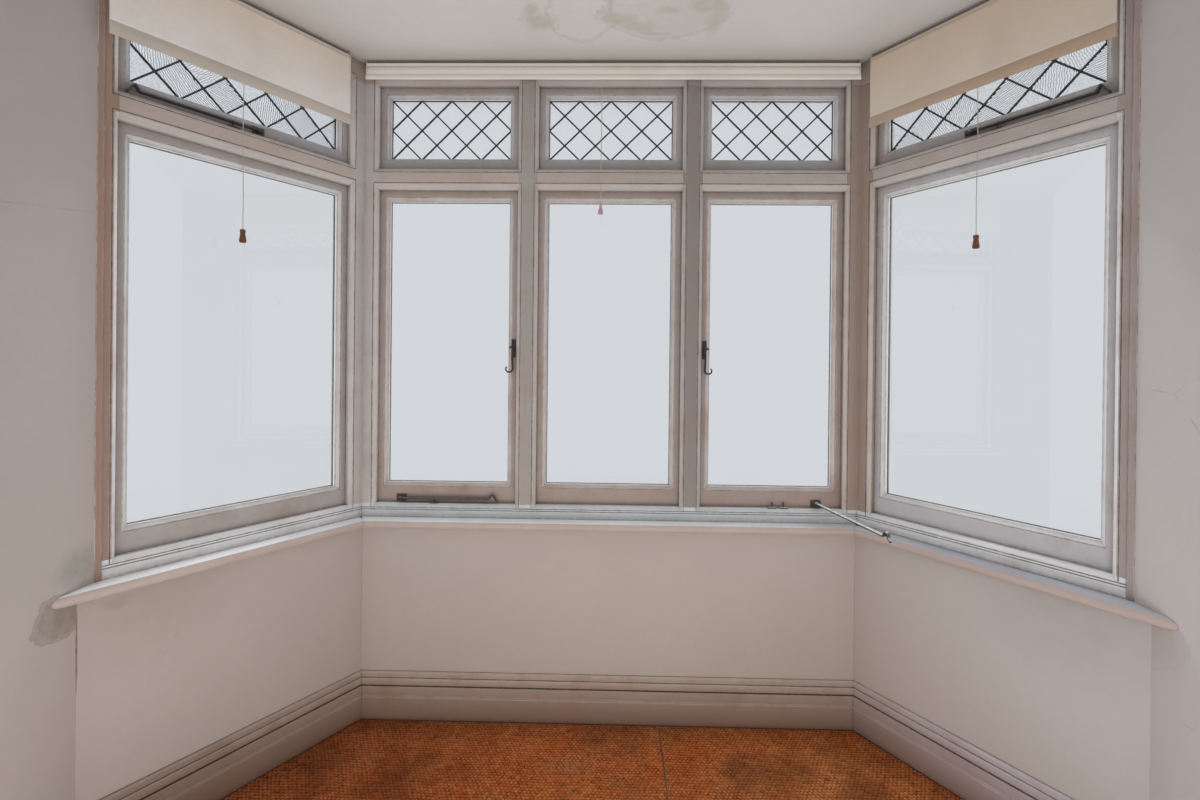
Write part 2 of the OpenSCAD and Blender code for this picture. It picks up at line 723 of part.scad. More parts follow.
// Side view of a stay: a flat bar that sweeps up and over into a hooked end
bend_r = 4;
hook_r = 6;
hook_drop = 9;
hook_len = 2 * (bend_r + hook_r) + 2 * bar_t - bend_r;
module stay_side(length) {
    square([length, bar_t]);
    rise = bar_t + bend_r;
    over = length + bend_r + bar_t + hook_r;
    translate([length, rise]) intersection() {
        ring(bend_r, bend_r + bar_t);
        translate([0, -rise]) square([rise, rise]);
    }
    translate([over, rise]) intersection() {
        ring(hook_r, hook_r + bar_t);
        translate([-hook_r - bar_t, 0]) square([2 * (hook_r + bar_t), hook_r + bar_t]);
    }
    translate([over + hook_r, rise - hook_drop]) square([bar_t, hook_drop]);
}
module ring(inner, outer_r) {
    difference() {
        circle(r = outer_r, $fn = 32);
        circle(r = inner, $fn = 32);
    }
}
// A stay's bar with its row of peg holes and the eye that turns on the pin
stay_holes = 7;
pin_r = 3.5;
peg_r = 2.7;
pin_gap = 0.3;
module stay_arm(length) {
    difference() {
        union() {
            translate([0, bar_w / 2, 0]) rotate([90, 0, 0]) linear_extrude(bar_w) stay_side(length);
            cylinder(r = bar_w * 0.75, h = bar_t, $fn = 24);
        }
        translate([0, 0, -1]) cylinder(r = pin_r + pin_gap, h = bar_t + 2, $fn = 24);
        for (i = [1:stay_holes])
            translate([i * length / (stay_holes + 1), 0, -1])
                cylinder(r = peg_r + pin_gap, h = bar_t + 2, $fn = 16);
    }
}
// The bracket on the sash's bottom rail: a plate, a tongue under the bar and an upright pin
bracket_plate = [36, plate_t, 26];
bracket_foot = 4;
tongue_w = 16;
pin_head_r = 6;
pin_head_gap = 0.5;
peg_plate = [32, 16, plate_t];
peg_over = 4;
module stay_bracket(lift = 0) {
    reach = stop_t - stay_y;
    under = bar_z - plate_t;
    head = bar_z + bar_t + lift + pin_head_gap;
    translate([-bracket_plate[0] / 2, reach - plate_t, bracket_foot]) cube(bracket_plate);
    translate([-tongue_w / 2, 0, under]) cube([tongue_w, reach, plate_t]);
    translate([0, 0, under]) cylinder(d = tongue_w, h = plate_t, $fn = 24);
    translate([0, 0, under]) cylinder(r = pin_r, h = head + plate_t / 2 - under, $fn = 24);
    translate([0, 0, head]) cylinder(r = pin_head_r, h = plate_t, $fn = 24);
}
// A plate that is screwed down, with the upright peg that a hole of the bar drops over
module stay_peg() {
    translate([-peg_plate[0] / 2, -peg_plate[1] / 2, 0]) cube(peg_plate);
    cylinder(r = peg_r, h = bar_z + bar_t + peg_over, $fn = 16);
}
// Distance of the stays' bars behind the frame's inner face
stay_y = 16;
casement_w = front_x[0][1] - front_x[0][0];
casement_stay_len = casement_w - stay_set - stay_end - hook_len;
module casement_stays() {
    hole = casement_stay_len / (stay_holes + 1);
    lift = 0.8;
    color(iron) in_bay() {
        // The left casement is held shut: its bar lies over its peg
        translate([front_x[0][0] + stay_set, face + stay_y, sill_z]) {
            stay_bracket();
            translate([0, 0, bar_z + pin_gap]) stay_arm(casement_stay_len);
            translate([3 * hole, 0, 0]) stay_peg();
        }
        // The right one's bar is off its two pegs and swung into the room
        translate([front_x[2][1] - stay_set, face + stay_y, sill_z]) {
            stay_bracket(lift);
            translate([0, 0, bar_z + lift]) rotate([0, 0, -stay_swing]) rotate([0, stay_droop, 0])
                stay_arm(casement_stay_len);
            for (x = [2.9, 3.9]) translate([-x * hole, 0, 0]) stay_peg();
        }
    }
}
// A top light's stay turns near the middle of its rail and lies towards the house
module top_light_stays() {
    middle = (side_x[0] + side_x[1]) / 2 - top_stay_set;
    length = side_x[1] - top_stay_end - hook_len - middle;
    color(iron) in_bay() on_both() translate([middle, face + stay_y, transom_z1]) {
        stay_bracket();
        translate([0, 0, bar_z + pin_gap]) stay_arm(length);
        translate([2 * length / (stay_holes + 1), 0, 0]) stay_peg();
    }
}

// Blinds: a roll close to the ceiling, cloth from its room side, and a hem bar
roll_y = face - blind_roll_d / 2 - 4;
roll_z = ceiling_z - blind_roll_d / 2 - blind_gap;
cloth_y = roll_y - blind_roll_d / 2;
front_hem_z = roll_z - blind_roll_d / 2 - front_drop;
side_hem_z = roll_z - blind_roll_d / 2 - side_drop;
front_blind_x = [-corner(roll_y) + 8, corner(roll_y) - 8];
function side_blind_x(end) = [side_start + end, side_start + end + side_len - blind_short];
left_blind_x = side_blind_x(left_blind_end);
right_blind_x = side_blind_x(right_blind_end);
bracket_t = 3;
module blind_roll(x) {
    translate([x[0] - bracket_t / 2, roll_y, roll_z]) rotate([0, 90, 0])
        cylinder(d = blind_roll_d, h = x[1] - x[0] + bracket_t, $fn = 48);
    bracket_h = blind_roll_d / 2 + blind_gap;
    for (e = [x[0] - bracket_t, x[1]])
        translate([e, roll_y - 10, roll_z - 10]) cube([bracket_t, face - roll_y + 10, bracket_h + 10]);
}
module blind_rolls() {
    color(cream) in_bay() {
        blind_roll(front_blind_x);
        on_left() blind_roll(left_blind_x);
        on_right() blind_roll(right_blind_x);
    }
}
module cloth(x, hem_z) {
    translate([x[0], cloth_y - cloth_t, hem_z]) cube([x[1] - x[0], cloth_t, roll_z - hem_z]);
}
module front_blind() { color(cream) in_bay() cloth(front_blind_x, front_hem_z); }
module left_blind() { color(cream) in_bay() on_left() cloth(left_blind_x, side_hem_z); }
module right_blind() { color(cream) in_bay() on_right() cloth(right_blind_x, side_hem_z); }
// A flat wooden bar with rounded edges, in the hem of the cloth
module hem_bar(x, hem_z, h) {
    r = hem_t / 2;
    translate([x[0], cloth_y - cloth_t / 2, hem_z - h]) rotate([90, 0, 90])
        linear_extrude(x[1] - x[0]) {
            translate([0, r]) circle(r = r, $fn = 24);
            translate([-r, r]) square([hem_t, h - r]);
        }
}
module blind_bars() {
    color(cream) in_bay() {
        hem_bar(front_blind_x, front_hem_z, front_hem_h);
        on_left() hem_bar(left_blind_x, side_hem_z, side_hem_h);
        on_right() hem_bar(right_blind_x, side_hem_z, side_hem_h);
    }
}

// Pull cords: each hangs from its hem bar, with an acorn on its end
cord_y = cloth_y - cloth_t / 2;
function side_cord_x(x) = (x[0] + x[1]) / 2 + side_cord_set;
front_cord_drop = [0, 20, 50, 90, 130, 170, 210, 250, 290, 330, 370, 410, 446];
side_cord_drop = [0, 20, 50, 90, 130, 170, 210, 250, 290, 330, 370, 410, 440];
cord_sway = [0, 0, 0.5, 1, 1.5, 1.5, 1, 0.5, 0, -0.5, -0.5, 0, 0];
function cord_path(x, z, drops) = [for (i = [0:len(drops) - 1])
    [x + cord_sway[i], cord_y, z - drops[i]]];
// A tube of level rings down a hanging cord
module cord(path) {
    n = 8;
    rings = len(path);
    polyhedron([for (p = path, k = [0:n - 1]) p + cord_d / 2 * [cos(360 * k / n), sin(360 * k / n), 0]],
               concat([[for (k = [0:n - 1]) k]],
                      [for (i = [0:rings - 2], k = [0:n - 1])
                          [i * n + k, (i + 1) * n + k, (i + 1) * n + (k + 1) % n, i * n + (k + 1) % n]],
                      [[for (k = [n - 1:-1:0]) (rings - 1) * n + k]]));
}
front_path = cord_path(-front_cord_set, front_hem_z - front_hem_h, front_cord_drop);
left_path = cord_path(side_cord_x(left_blind_x), side_hem_z - side_hem_h, side_cord_drop);
right_path = cord_path(side_cord_x(right_blind_x), side_hem_z - side_hem_h, side_cord_drop);
module front_cord() { color(cream) in_bay() cord(front_path); }
module left_cord() { color(cream) in_bay() on_left() cord(left_path); }
module right_cord() { color(cream) in_bay() on_right() cord(right_path); }
// A pull turned round the cord's end: a collar, a waist, and a body that widens to its foot. A form
// gives the diameters of the collar and the waist, and the radius of the foot's edge
bell = [11, 9.5, 1.5];
barrel = [16, 14, 5];
module pull(path, form) {
    end = path[len(path) - 1];
    collar_d = form[0];
    waist_d = form[1];
    foot = form[2];
    translate(end) rotate_extrude($fn = 32)
        polygon(concat([[0, 0], [collar_d * 0.35, 0], [collar_d / 2, -pull_h * 0.06],
                        [collar_d / 2, -pull_h * 0.2], [waist_d / 2, -pull_h * 0.3],
                        [waist_d / 2, -pull_h * 0.38], [waist_d / 4 + pull_d / 4, -pull_h * 0.65]],
                       [for (a = [0:30:90]) [pull_d / 2 - foot * (1 - cos(a)), -pull_h + foot * (1 - sin(a))]],
                       [[0, -pull_h]]));
}
module front_pull() { color([0.7, 0.55, 0.6]) in_bay() pull(front_path, bell); }
module left_pull() { color([0.35, 0.2, 0.12]) in_bay() on_left() pull(left_path, barrel); }
module right_pull() { color([0.35, 0.2, 0.12]) in_bay() on_right() pull(right_path, barrel); }

front_wall();
left_wall();
right_wall();
left_pier();
right_pier();
lintel();
bay_floor();
carpet();
ceiling();
soffits();
roof_deck();
fascias();
lead_roof();
lead_flashing();
outer_sills();
window_boards();
frame_sills();
left_corner_post();
right_corner_post();
jambs();
mullions();
front_transoms();
side_transoms();
frame_heads();
left_casement();
middle_light();
right_casement();
left_side_light();
right_side_light();
front_top_lights();
side_top_lights();
clear_glass();
leaded_glass();
leads();
casement_fasteners();
casement_stays();
top_light_stays();
blind_rolls();
front_blind();
left_blind();
right_blind();
blind_bars();
front_cord();
left_cord();
right_cord();
front_pull();
left_pull();
right_pull();
skirtings();
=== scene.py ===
import bpy
import numpy as np
from mathutils import Matrix, Vector


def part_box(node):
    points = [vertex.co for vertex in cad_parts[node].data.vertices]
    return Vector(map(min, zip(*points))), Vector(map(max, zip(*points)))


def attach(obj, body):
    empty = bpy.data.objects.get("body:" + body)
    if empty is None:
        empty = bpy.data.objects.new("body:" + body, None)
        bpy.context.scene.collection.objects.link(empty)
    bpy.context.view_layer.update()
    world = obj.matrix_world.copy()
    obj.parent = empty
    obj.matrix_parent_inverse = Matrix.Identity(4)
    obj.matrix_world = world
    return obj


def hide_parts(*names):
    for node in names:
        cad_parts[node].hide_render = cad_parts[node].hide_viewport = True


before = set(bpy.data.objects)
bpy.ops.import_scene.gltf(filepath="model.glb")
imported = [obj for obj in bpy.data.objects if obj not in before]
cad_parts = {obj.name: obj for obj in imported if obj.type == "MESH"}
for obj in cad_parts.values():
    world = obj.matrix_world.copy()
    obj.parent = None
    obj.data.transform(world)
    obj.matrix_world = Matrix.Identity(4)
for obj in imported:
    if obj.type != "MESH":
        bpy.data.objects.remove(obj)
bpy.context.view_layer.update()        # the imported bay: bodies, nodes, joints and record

print("frame loaded with", len(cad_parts), "nodes")

# The bay's own sizes in metres, as the timber frame and the boards follow them
bay = {
    "floor": 0.150,          # inner floor above the ground
    "ceiling": 2.550,
    "half": 0.896,           # half the inner width of the front apron
    "angle": np.radians(58),  # between a side and the front
    "sideLength": 0.771,
    "face": 0.030,           # the frame's room face behind the apron's inner face
    "sill": 0.920,           # top of the frame's sill
    "transomLow": 2.087,
    "transomHigh": 2.164,
    "head": 2.472,
    "sashFace": 0.058,
    "sashThick": 0.045,
    "glassFace": 0.080,
    "glassThick": 0.004,
}
cosA, sinA = float(np.cos(bay["angle"])), float(np.sin(bay["angle"]))
mitre = float(np.tan(bay["angle"] / 2))
bay["y"] = float(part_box("front_wall")[0][1])      # the apron's inner face
bay["mouthX"] = -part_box("bay_floor")[0][0]
bay["roomY"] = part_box("bay_floor")[0][1]
# Where the apron's inner face meets the return
bay["cornerY"] = bay["y"] - (bay["mouthX"] - bay["half"]) * sinA / cosA
bay["mouthY"] = float(bay["y"] + bay["face"] - bay["sideLength"] * sinA)
sideStart = -bay["face"] * mitre           # where a side's face begins, along the side
# Openings of the frame: front ones along x, side ones along the side from its corner
frontOpenings = [(-0.8626, -0.342), (-0.266, 0.266), (0.342, 0.8626)]
sideOpening = (0.0334, 0.7144)


# Camera

shot = {
    "focal": 578.13,                   # in pixels of the 1200 x 800 picture
    "centre": (600.30, 362.06),        # where the optical axis meets the picture
    "picture": (1200, 800),
    "place": (0.0128, -1.7856, 1.4587),
    "yaw": 1.151, "pitch": -0.185, "roll": 0.584,
    "sensor": 36, "nearest": 0.05,     # millimetres, metres
}


def newObject(name, data):
    thing = bpy.data.objects.new(name, data)
    bpy.context.scene.collection.objects.link(thing)
    return thing


def makeCamera(s):
    # The axes right, ahead and up are turned by yaw, then pitch, then roll
    yaw, pitch, roll = np.radians([s["yaw"], s["pitch"], s["roll"]])
    turn = np.array([[np.cos(yaw), np.sin(yaw), 0], [-np.sin(yaw), np.cos(yaw), 0], [0, 0, 1]])
    nod = np.array([[1, 0, 0], [0, np.cos(pitch), np.sin(pitch)], [0, -np.sin(pitch), np.cos(pitch)]])
    right, ahead, up = (nod @ turn)
    across = np.cos(roll) * right + np.sin(roll) * up
    above = np.cos(roll) * up - np.sin(roll) * right
    lens = bpy.data.cameras.new("camera")
    lens.sensor_width, lens.clip_start = s["sensor"], s["nearest"]
    wide, high = s["picture"]
    lens.lens = s["focal"] / wide * s["sensor"]
    lens.shift_x = (wide / 2 - s["centre"][0]) / wide
    lens.shift_y = (s["centre"][1] - high / 2) / wide
    camera = newObject("camera", lens)
    camera.matrix_world = Matrix([[across[i], above[i], -ahead[i], s["place"][i]] for i in range(3)]
                                 + [[0, 0, 0, 1]])
    bpy.context.scene.camera = camera


makeCamera(shot)
print("camera placed")


# Surfaces: a dictionary of points, quads, triangles and the uv of each of their corners

def at(*axes):
    # Points from one array or number per axis
    return np.stack(np.broadcast_arrays(*axes), -1).astype(float)


def gridSurface(points, wrapU=False, wrapV=False, capU=False, uv=None):
    # Row u and column v of a grid of points; a wrapped direction joins its last row to its first,
    # and capU closes both ends with a fan round the mean of the end row
    nu, nv = points.shape[:2]
    u, v = np.meshgrid(np.arange(nu - (not wrapU)), np.arange(nv - (not wrapV)), indexing="ij")
    rows = np.stack([u, u + 1, u + 1, u], -1).reshape(-1, 4)
    columns = np.stack([v, v, v + 1, v + 1], -1).reshape(-1, 4)
    quads = (rows % nu) * nv + columns % nv
    if uv is None:
        quadUv = np.stack([rows / max(nu - (not wrapU), 1), columns / max(nv - (not wrapV), 1)], -1)
    else:
        quadUv = uv.reshape(-1, 2)[quads]
    flat = points.reshape(-1, 3)
    triangles = np.zeros((0, 3), int)
    if capU:
        ring = np.arange(nv)
        first = np.stack([ring, np.roll(ring, -1), np.full(nv, nu * nv)], -1)
        last = np.stack([np.roll(ring, -1), ring, np.full(nv, nu * nv + 1)], -1)
        last[:, :2] += (nu - 1) * nv
        triangles = np.concatenate([first, last])
        flat = np.concatenate([flat, [points[0].mean(0), points[-1].mean(0)]])
    return {"points": flat, "quads": quads, "quadUv": quadUv, "triangles": triangles,
            "triangleUv": np.zeros((len(triangles), 3, 2))}


def unitGrid(rows, columns):
    # u and v from 0 to 1 at each point of a grid
    return np.meshgrid(np.linspace(0, 1, rows), np.linspace(0, 1, columns), indexing="ij")


def flipped(s):
    # The corners of every face in the other order
    return {key: value if key == "points" else value[:, ::-1] for key, value in s.items()}


def outward(s):
    # The signed volume of a closed surface is positive when its faces point outwards
    p = s["points"] - s["points"].mean(0)
    q = s["quads"]
    three = np.concatenate([q[:, [0, 1, 2]], q[:, [0, 2, 3]], s["triangles"]])
    volume = (p[three[:, 0]] * np.cross(p[three[:, 1]], p[three[:, 2]])).sum()
    return flipped(s) if volume < 0 else s


def crossed(s):
    # The cross product of each quad's diagonals: twice its area, along its normal
    p, q = s["points"], s["quads"]
    return np.cross(p[q[:, 2]] - p[q[:, 0]], p[q[:, 3]] - p[q[:, 1]])


def facing(s, direction):
    # An open surface is turned so that its summed normal goes along the direction
    return flipped(s) if crossed(s).sum(0) @ np.array(direction) < 0 else s


def joined(parts):
    # Faces count their points on from the parts before
    starts = np.cumsum([0] + [len(s["points"]) for s in parts])
    whole = {key: np.concatenate([s[key] for s in parts]) for key in ("points", "quadUv", "triangleUv")}
    for key in ("quads", "triangles"):
        whole[key] = np.concatenate([s[key] + n for s, n in zip(parts, starts)])
    return whole


def shifted(parts, x, y, z):
    # The same parts, each point moved by x, y and z
    return [dict(p, points=p["points"] + [x, y, z]) for p in parts]


def onSide(points, side):
    # Local (along, outdoors, height) becomes the part's frame; side is 0 in front, +1 right, -1 left
    x, d, z = points[..., 0], points[..., 1], points[..., 2]
    if side == 0:
        return at(x, bay["y"] + d, z)
    return at(side * (bay["half"] + x * cosA + d * sinA), bay["y"] + d * cosA - x * sinA, z)


def moved(s, side):
    # Onto a side of the bay, with its faces outwards
    return outward(dict(s, points=onSide(s["points"], side)))


def carried(path, profile, across, size=1.0):
    # Each profile point (a, b) stands off the path by a along "across" made square to the path,
    # and by b along the cross product of the two; "size" scales the profile along the way
    path, across = np.asarray(path, float), np.asarray(across, float)
    tangent = np.gradient(path, axis=0)
    tangent /= np.linalg.norm(tangent, axis=1, keepdims=True)
    side = across - tangent * (tangent @ across)[:, None]
    side /= np.linalg.norm(side, axis=1, keepdims=True)
    rise = np.cross(tangent, side)
    spread = profile[None, :, :, None] * np.broadcast_to(size, len(path))[:, None, None, None]
    points = path[:, None] + spread[:, :, 0] * side[:, None] + spread[:, :, 1] * rise[:, None]
    return outward(gridSurface(points, wrapV=True, capU=True))


def roundedBar(width, height, radius, steps=3):
    # A rectangle whose corners are quarter circles
    a = np.linspace(0, np.pi / 2, steps) + np.arange(4)[:, None] * np.pi / 2
    x = (width / 2 - radius) * np.array([[1], [-1], [-1], [1]])
    y = (height / 2 - radius) * np.array([[1], [1], [-1], [-1]])
    return at(x + radius * np.cos(a), y + radius * np.sin(a)).reshape(-1, 2)


def turned(profile, centre=(0, 0, 0), axis="z", count=24):
    # A profile of (radius, height) turned about an axis through the centre
    a = np.arange(count) * 2 * np.pi / count
    r, h = np.asarray(profile, float).T[..., None]
    points = at(r * np.cos(a), r * np.sin(a), h)
    order = {"z": [0, 1, 2], "y": [0, 2, 1], "x": [2, 0, 1]}[axis]
    return outward(gridSurface(points[..., order] + np.asarray(centre, float), wrapV=True, capU=True))


def blockOf(low, high, radius=0.001):
    # A block with rounded long edges, carried along its x
    low, high = np.asarray(low, float), np.asarray(high, float)
    size, middle = high - low, (high + low) / 2
    section = roundedBar(size[1], size[2], min(radius, size[1] / 2.1, size[2] / 2.1))
    return carried([[low[0], *middle[1:]], [high[0], *middle[1:]]], section, (0, 1, 0))


def smoothNoise(x, y, seed, octaves=4):
    # Value noise: random numbers on a lattice, eased between, summed over octaves
    total, weight = 0, 0
    random = np.random.default_rng(seed)
    for k in range(octaves):
        table = random.random((64, 64))
        px, py = x * 2 ** k + 17.3 * k, y * 2 ** k + 5.1 * k
        ix, iy = np.floor(px).astype(int), np.floor(py).astype(int)
        fx, fy = px - ix, py - iy
        fx, fy = fx * fx * (3 - 2 * fx), fy * fy * (3 - 2 * fy)
        low, high = [table[ix % 64, (iy + j) % 64] * (1 - fx) + table[(ix + 1) % 64, (iy + j) % 64] * fx
                     for j in (0, 1)]
        total = total + (low * (1 - fy) + high * fy) / 2 ** k
        weight += 1 / 2 ** k
    return total / weight


def addPiece(name, surface, material, replaces=(), sharp=40):
    mesh = bpy.data.meshes.new(name)
    faces = surface["quads"].tolist() + surface["triangles"].tolist()
    mesh.from_pydata(surface["points"].tolist(), [], faces)
    layer = mesh.uv_layers.new(name="UVMap")
    layer.data.foreach_set("uv", np.concatenate([surface["quadUv"].ravel(), surface["triangleUv"].ravel()]))
    mesh.polygons.foreach_set("use_smooth", np.ones(len(faces), bool))
    mesh.set_sharp_from_angle(angle=np.radians(sharp))
    mesh.validate()
    mesh.materials.append(material)
    piece = newObject(name, mesh)
    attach(piece, "root")
    if replaces:
        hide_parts(*replaces)
    return piece


# Materials: a wire is one output of a node, and sums and products of wires make Math nodes

class Wire:
    def __init__(self, nodes, socket):
        self.nodes, self.socket = nodes, socket

    def math(self, operation, other=0.0, clamp=False):
        return self.nodes.add("Math", {0: self, 1: other}, operation=operation, use_clamp=clamp)

    def __add__(self, other):
        return self.math("ADD", other)

    def __sub__(self, other):
        return self.math("SUBTRACT", other)

    def __rsub__(self, number):
        return self.nodes.add("Math", {0: number, 1: self}, operation="SUBTRACT")

    def __mul__(self, other):
        return self.math("MULTIPLY", other)

    def remap(self, low, high, toLow=0.0, toHigh=1.0):
        inputs = {"Value": self, "From Min": low, "From Max": high, "To Min": toLow, "To Max": toHigh}
        return self.nodes.add("MapRange", inputs, clamp=True)


class Nodes:
    # Makes nodes in one tree, sets their properties, and links or fills their inputs
    def __init__(self, tree):
        self.tree = tree

    def feed(self, socket, value):
        if isinstance(value, Wire):
            self.tree.links.new(value.socket, socket)
        elif socket.type == "RGBA":
            socket.default_value = (*value, 1)
        else:
            socket.default_value = value

    def all(self, kind, inputs=None, **settings):
        node = self.tree.nodes.new("ShaderNode" + kind)
        for key, value in settings.items():
            setattr(node, key, value)
        for key, value in (inputs or {}).items():
            self.feed(node.inputs[key], value)
        wires = [Wire(self, socket) for socket in node.outputs]
        return {**{wire.socket.name: wire for wire in wires}, **dict(enumerate(wires))}

    def add(self, kind, inputs=None, out=0, **settings):
        return self.all(kind, inputs, **settings)[out]

    def place(self):
        return self.add("TexCoord", out="Object")

    def uv(self):
        return self.add("UVMap", uv_map="UVMap")

    def xyz(self, vector):
        parts = self.all("SeparateXYZ", {0: vector})
        return parts[0], parts[1], parts[2]

    def blend(self, factor, a, b):
        return self.add("Mix", {0: factor, 6: a, 7: b}, 2, data_type="RGBA")

    def pick(self, factor, a, b):
        return self.add("Mix", {0: factor, 2: a, 3: b}, data_type="FLOAT")

    def vectors(self, operation, a, b, out=0):
        return self.add("VectorMath", {0: a, 1: b}, out, operation=operation)

    def noise(self, vector, scale, detail=3.0, rough=0.55):
        # Three scales stretch it
        if isinstance(scale, tuple):
            vector, scale = self.add("Mapping", {"Vector": vector, "Scale": scale}), 1.0
        return self.add("TexNoise", {"Vector": vector, "Scale": scale, "Detail": detail, "Roughness": rough})

    def bump(self, height, strength, distance, **more):
        return self.add("Bump", {"Height": height, "Strength": strength, "Distance": distance, **more})

    def seenDirectly(self):
        # Rays that show a thing to the camera, also by reflection and through glass
        path = self.all("LightPath")
        seen = path["Is Camera Ray"].math("MAXIMUM", path["Is Glossy Ray"])
        return seen.math("MAXIMUM", path["Is Transmission Ray"])


socketKinds = {"Color": "colour dirt left right".split(), "Vector": "vector centre size normal".split()}


def shared(inputs, outputs):
    # Makes a node group of a function that takes wires and returns a list of them
    def make(body):
        tree = bpy.data.node_groups.new(body.__name__, "ShaderNodeTree")
        for way, titles in (("INPUT", inputs), ("OUTPUT", outputs)):
            for title in titles.split():
                kind = next((k for k, names in socketKinds.items() if title in names), "Float")
                tree.interface.new_socket(title, in_out=way, socket_type="NodeSocket" + kind)
        nodes = Nodes(tree)
        given = [Wire(nodes, s) for s in tree.nodes.new("NodeGroupInput").outputs if s.name]
        ends = tree.nodes.new("NodeGroupOutput").inputs
        for title, wire in zip(outputs.split(), body(nodes, *given)):
            nodes.feed(ends[title], wire)
        return lambda t, **values: t.all("Group", values, node_tree=tree)
    return make


@shared("", "vector away height")
def bayAxes(t):
    # Places in the bay: along the wall, outdoors from the apron's inner face, and height. On a
    # side the plan is turned by the side's angle round the corner of the apron
    x, y, z = t.xyz(t.place())
    relX, relY = x.math("ABSOLUTE") - bay["half"], y - bay["y"]
    onFront = relX.math("LESS_THAN", relY * mitre)
    along = (relX * cosA - relY * sinA + 3.0) * x.math("SIGN")
    away = relX * sinA + relY * cosA
    along, away = t.pick(onFront, along, x), t.pick(onFront, away, relY)
    return [t.add("CombineXYZ", {0: along, 1: away, 2: z}), away, z]


@shared("vector colour dirt amount reach scale contrast crease", "colour mottle corner")
def weather(t, vector, colour, dirt, amount, reach, scale, contrast, crease):
    # Tone that drifts over the surface, fine mottling, and darkening in corners that is partly dirt and
    # partly painted shade
    broad = t.noise(vector, scale, 4)
    fine = t.noise(vector, scale * 22.0, 3, 0.7)
    drift = (broad - 0.5) + (fine - 0.5) * 0.5
    toned = t.add("VectorMath", {0: colour, "Scale": drift * contrast + 1.0}, operation="SCALE")
    corner = 1.0 - t.add("AmbientOcclusion", {"Distance": reach}, "AO", samples=5)
    mask = (corner * fine.remap(0.3, 0.75, 0.25, 1.6)).math("MULTIPLY", amount, True)
    # Dark lines in tight creases: painted shade
    near = t.add("AmbientOcclusion", {"Distance": reach * 0.22}, "AO", samples=4)
    line = near.remap(0.80, 0.45) * fine.remap(0.25, 0.6, 0.45, 1.0)
    dirtyAndShaded = t.blend(mask, toned, dirt)
    dirtyAndShaded = t.blend(line * crease, dirtyAndShaded, (0.035, 0.022, 0.017))
    return [dirtyAndShaded, broad + fine * 0.4, corner]


@shared("vector radius amount scale", "mask edge normal")
def edges(t, vector, radius, amount, scale):
    # Where a rounded normal leaves the true one is an edge; noise breaks it into chips
    soft = t.add("Bevel", {"Radius": radius}, samples=4)
    agree = t.vectors("DOT_PRODUCT", soft, t.add("NewGeometry", out="True Normal"), "Value")
    edge = agree.remap(0.995, 0.93)
    chips = 1.0 - t.noise(vector, scale, 5, 0.65).remap(0.58, 0.50)
    return [(edge * chips).math("MULTIPLY", amount, True), edge, soft]


@shared("centre size rag scale soft", "mask rim")
def patch(t, centre, size, rag, scale, soft):
    # A ragged spot: distance from a centre, divided by its half sizes and shaken by noise
    place = t.place()
    offset = t.vectors("DIVIDE", t.vectors("SUBTRACT", place, centre), size)
    reach = t.add("VectorMath", {0: offset}, "Value", operation="LENGTH")
    reach = reach + (t.noise(place, scale, 5, 0.6) - 0.5) * rag
    streaky = t.noise(place, scale * 2.6, 4).remap(0.3, 0.7, 0.55, 1.0)
    return [reach.remap(1.0, 1.0 - soft) * streaky, reach.remap(1.04, 0.98) * reach.remap(0.86, 0.96)]


@shared("pitchX pitchY wander", "dome random strand")
def knots(t, pitchX, pitchY, wander):
    # Knots in staggered rows: the distance from each knot's middle gives its dome. The rows wander,
    # as each coordinate is shifted by a sine of the other
    x, y, _ = t.xyz(t.place())
    bent = lambda a, b, rate: wander * (a * rate + b * 4.0).math("SINE")
    x, y = x + bent(y, x, 31.0), y + bent(x, y, 23.0)
    v = y.math("DIVIDE", pitchY)
    row = v.math("FLOOR")
    u = x.math("DIVIDE", pitchX) + row.math("FLOORED_MODULO", 2.0) * 0.5
    column = u.math("FLOOR")
    du, dv = u - column - 0.5, v - row - 0.5
    reach = (du * du + dv * dv).math("SQRT")
    cell = t.add("CombineXYZ", {0: column, 1: row})
    random = t.add("TexWhiteNoise", {"Vector": cell}, noise_dimensions="2D")
    dome = reach.remap(0.62, 0.12) * random.remap(0.0, 1.0, 1.1, 0.8)
    return [dome, random, ((du * 9.0 + dv * 5.0) * 6.283).math("SINE")]


@shared("colour left right start end", "colour")
def sideLightTone(t, colour, left, right, start, end):
    # One side of the bay is made warmer and the other cooler than the front: on the walls and skirtings this
    # is painted light and shade
    x = t.xyz(t.place())[0]
    tone = t.blend((x * -1.0).remap(start, end), (1, 1, 1), left)
    tone = t.blend(x.remap(start, end), tone, right)
    return [t.vectors("MULTIPLY", colour, tone)]


def toned(t, colour, p, start=0.85, end=1.2):
    # A finish's two side tones, which come in from start to end, in metres along x
    sides = {"left": p["leftTone"], "right": p["rightTone"], "start": start, "end": end}
    return sideLightTone(t, colour=colour, **sides)["colour"]


shaderSockets = {
    "colour": "Base Color", "rough": "Roughness", "normal": "Normal", "metal": "Metallic",
    "specular": "Specular IOR Level", "sheen": "Sheen Weight", "sheenTint": "Sheen Tint",
    "transmission": "Transmission Weight", "ior": "IOR",
}


class Material(Nodes):
    # One shader, straight to the output
    def __init__(self, name):
        self.made = bpy.data.materials.new(name)
        self.made.use_nodes = True
        super().__init__(self.made.node_tree)
        self.tree.nodes.clear()
        self.shader = self.tree.nodes.new("ShaderNodeBsdfPrincipled")
        self.surface = Wire(self, self.shader.outputs[0])
        self.output = self.tree.nodes.new("ShaderNodeOutputMaterial").inputs["Surface"]
        self.feed(self.output, self.surface)

    def look(self, **looks):
        for key, value in looks.items():
            self.feed(self.shader.inputs[shaderSockets[key]], value)
        return self.made


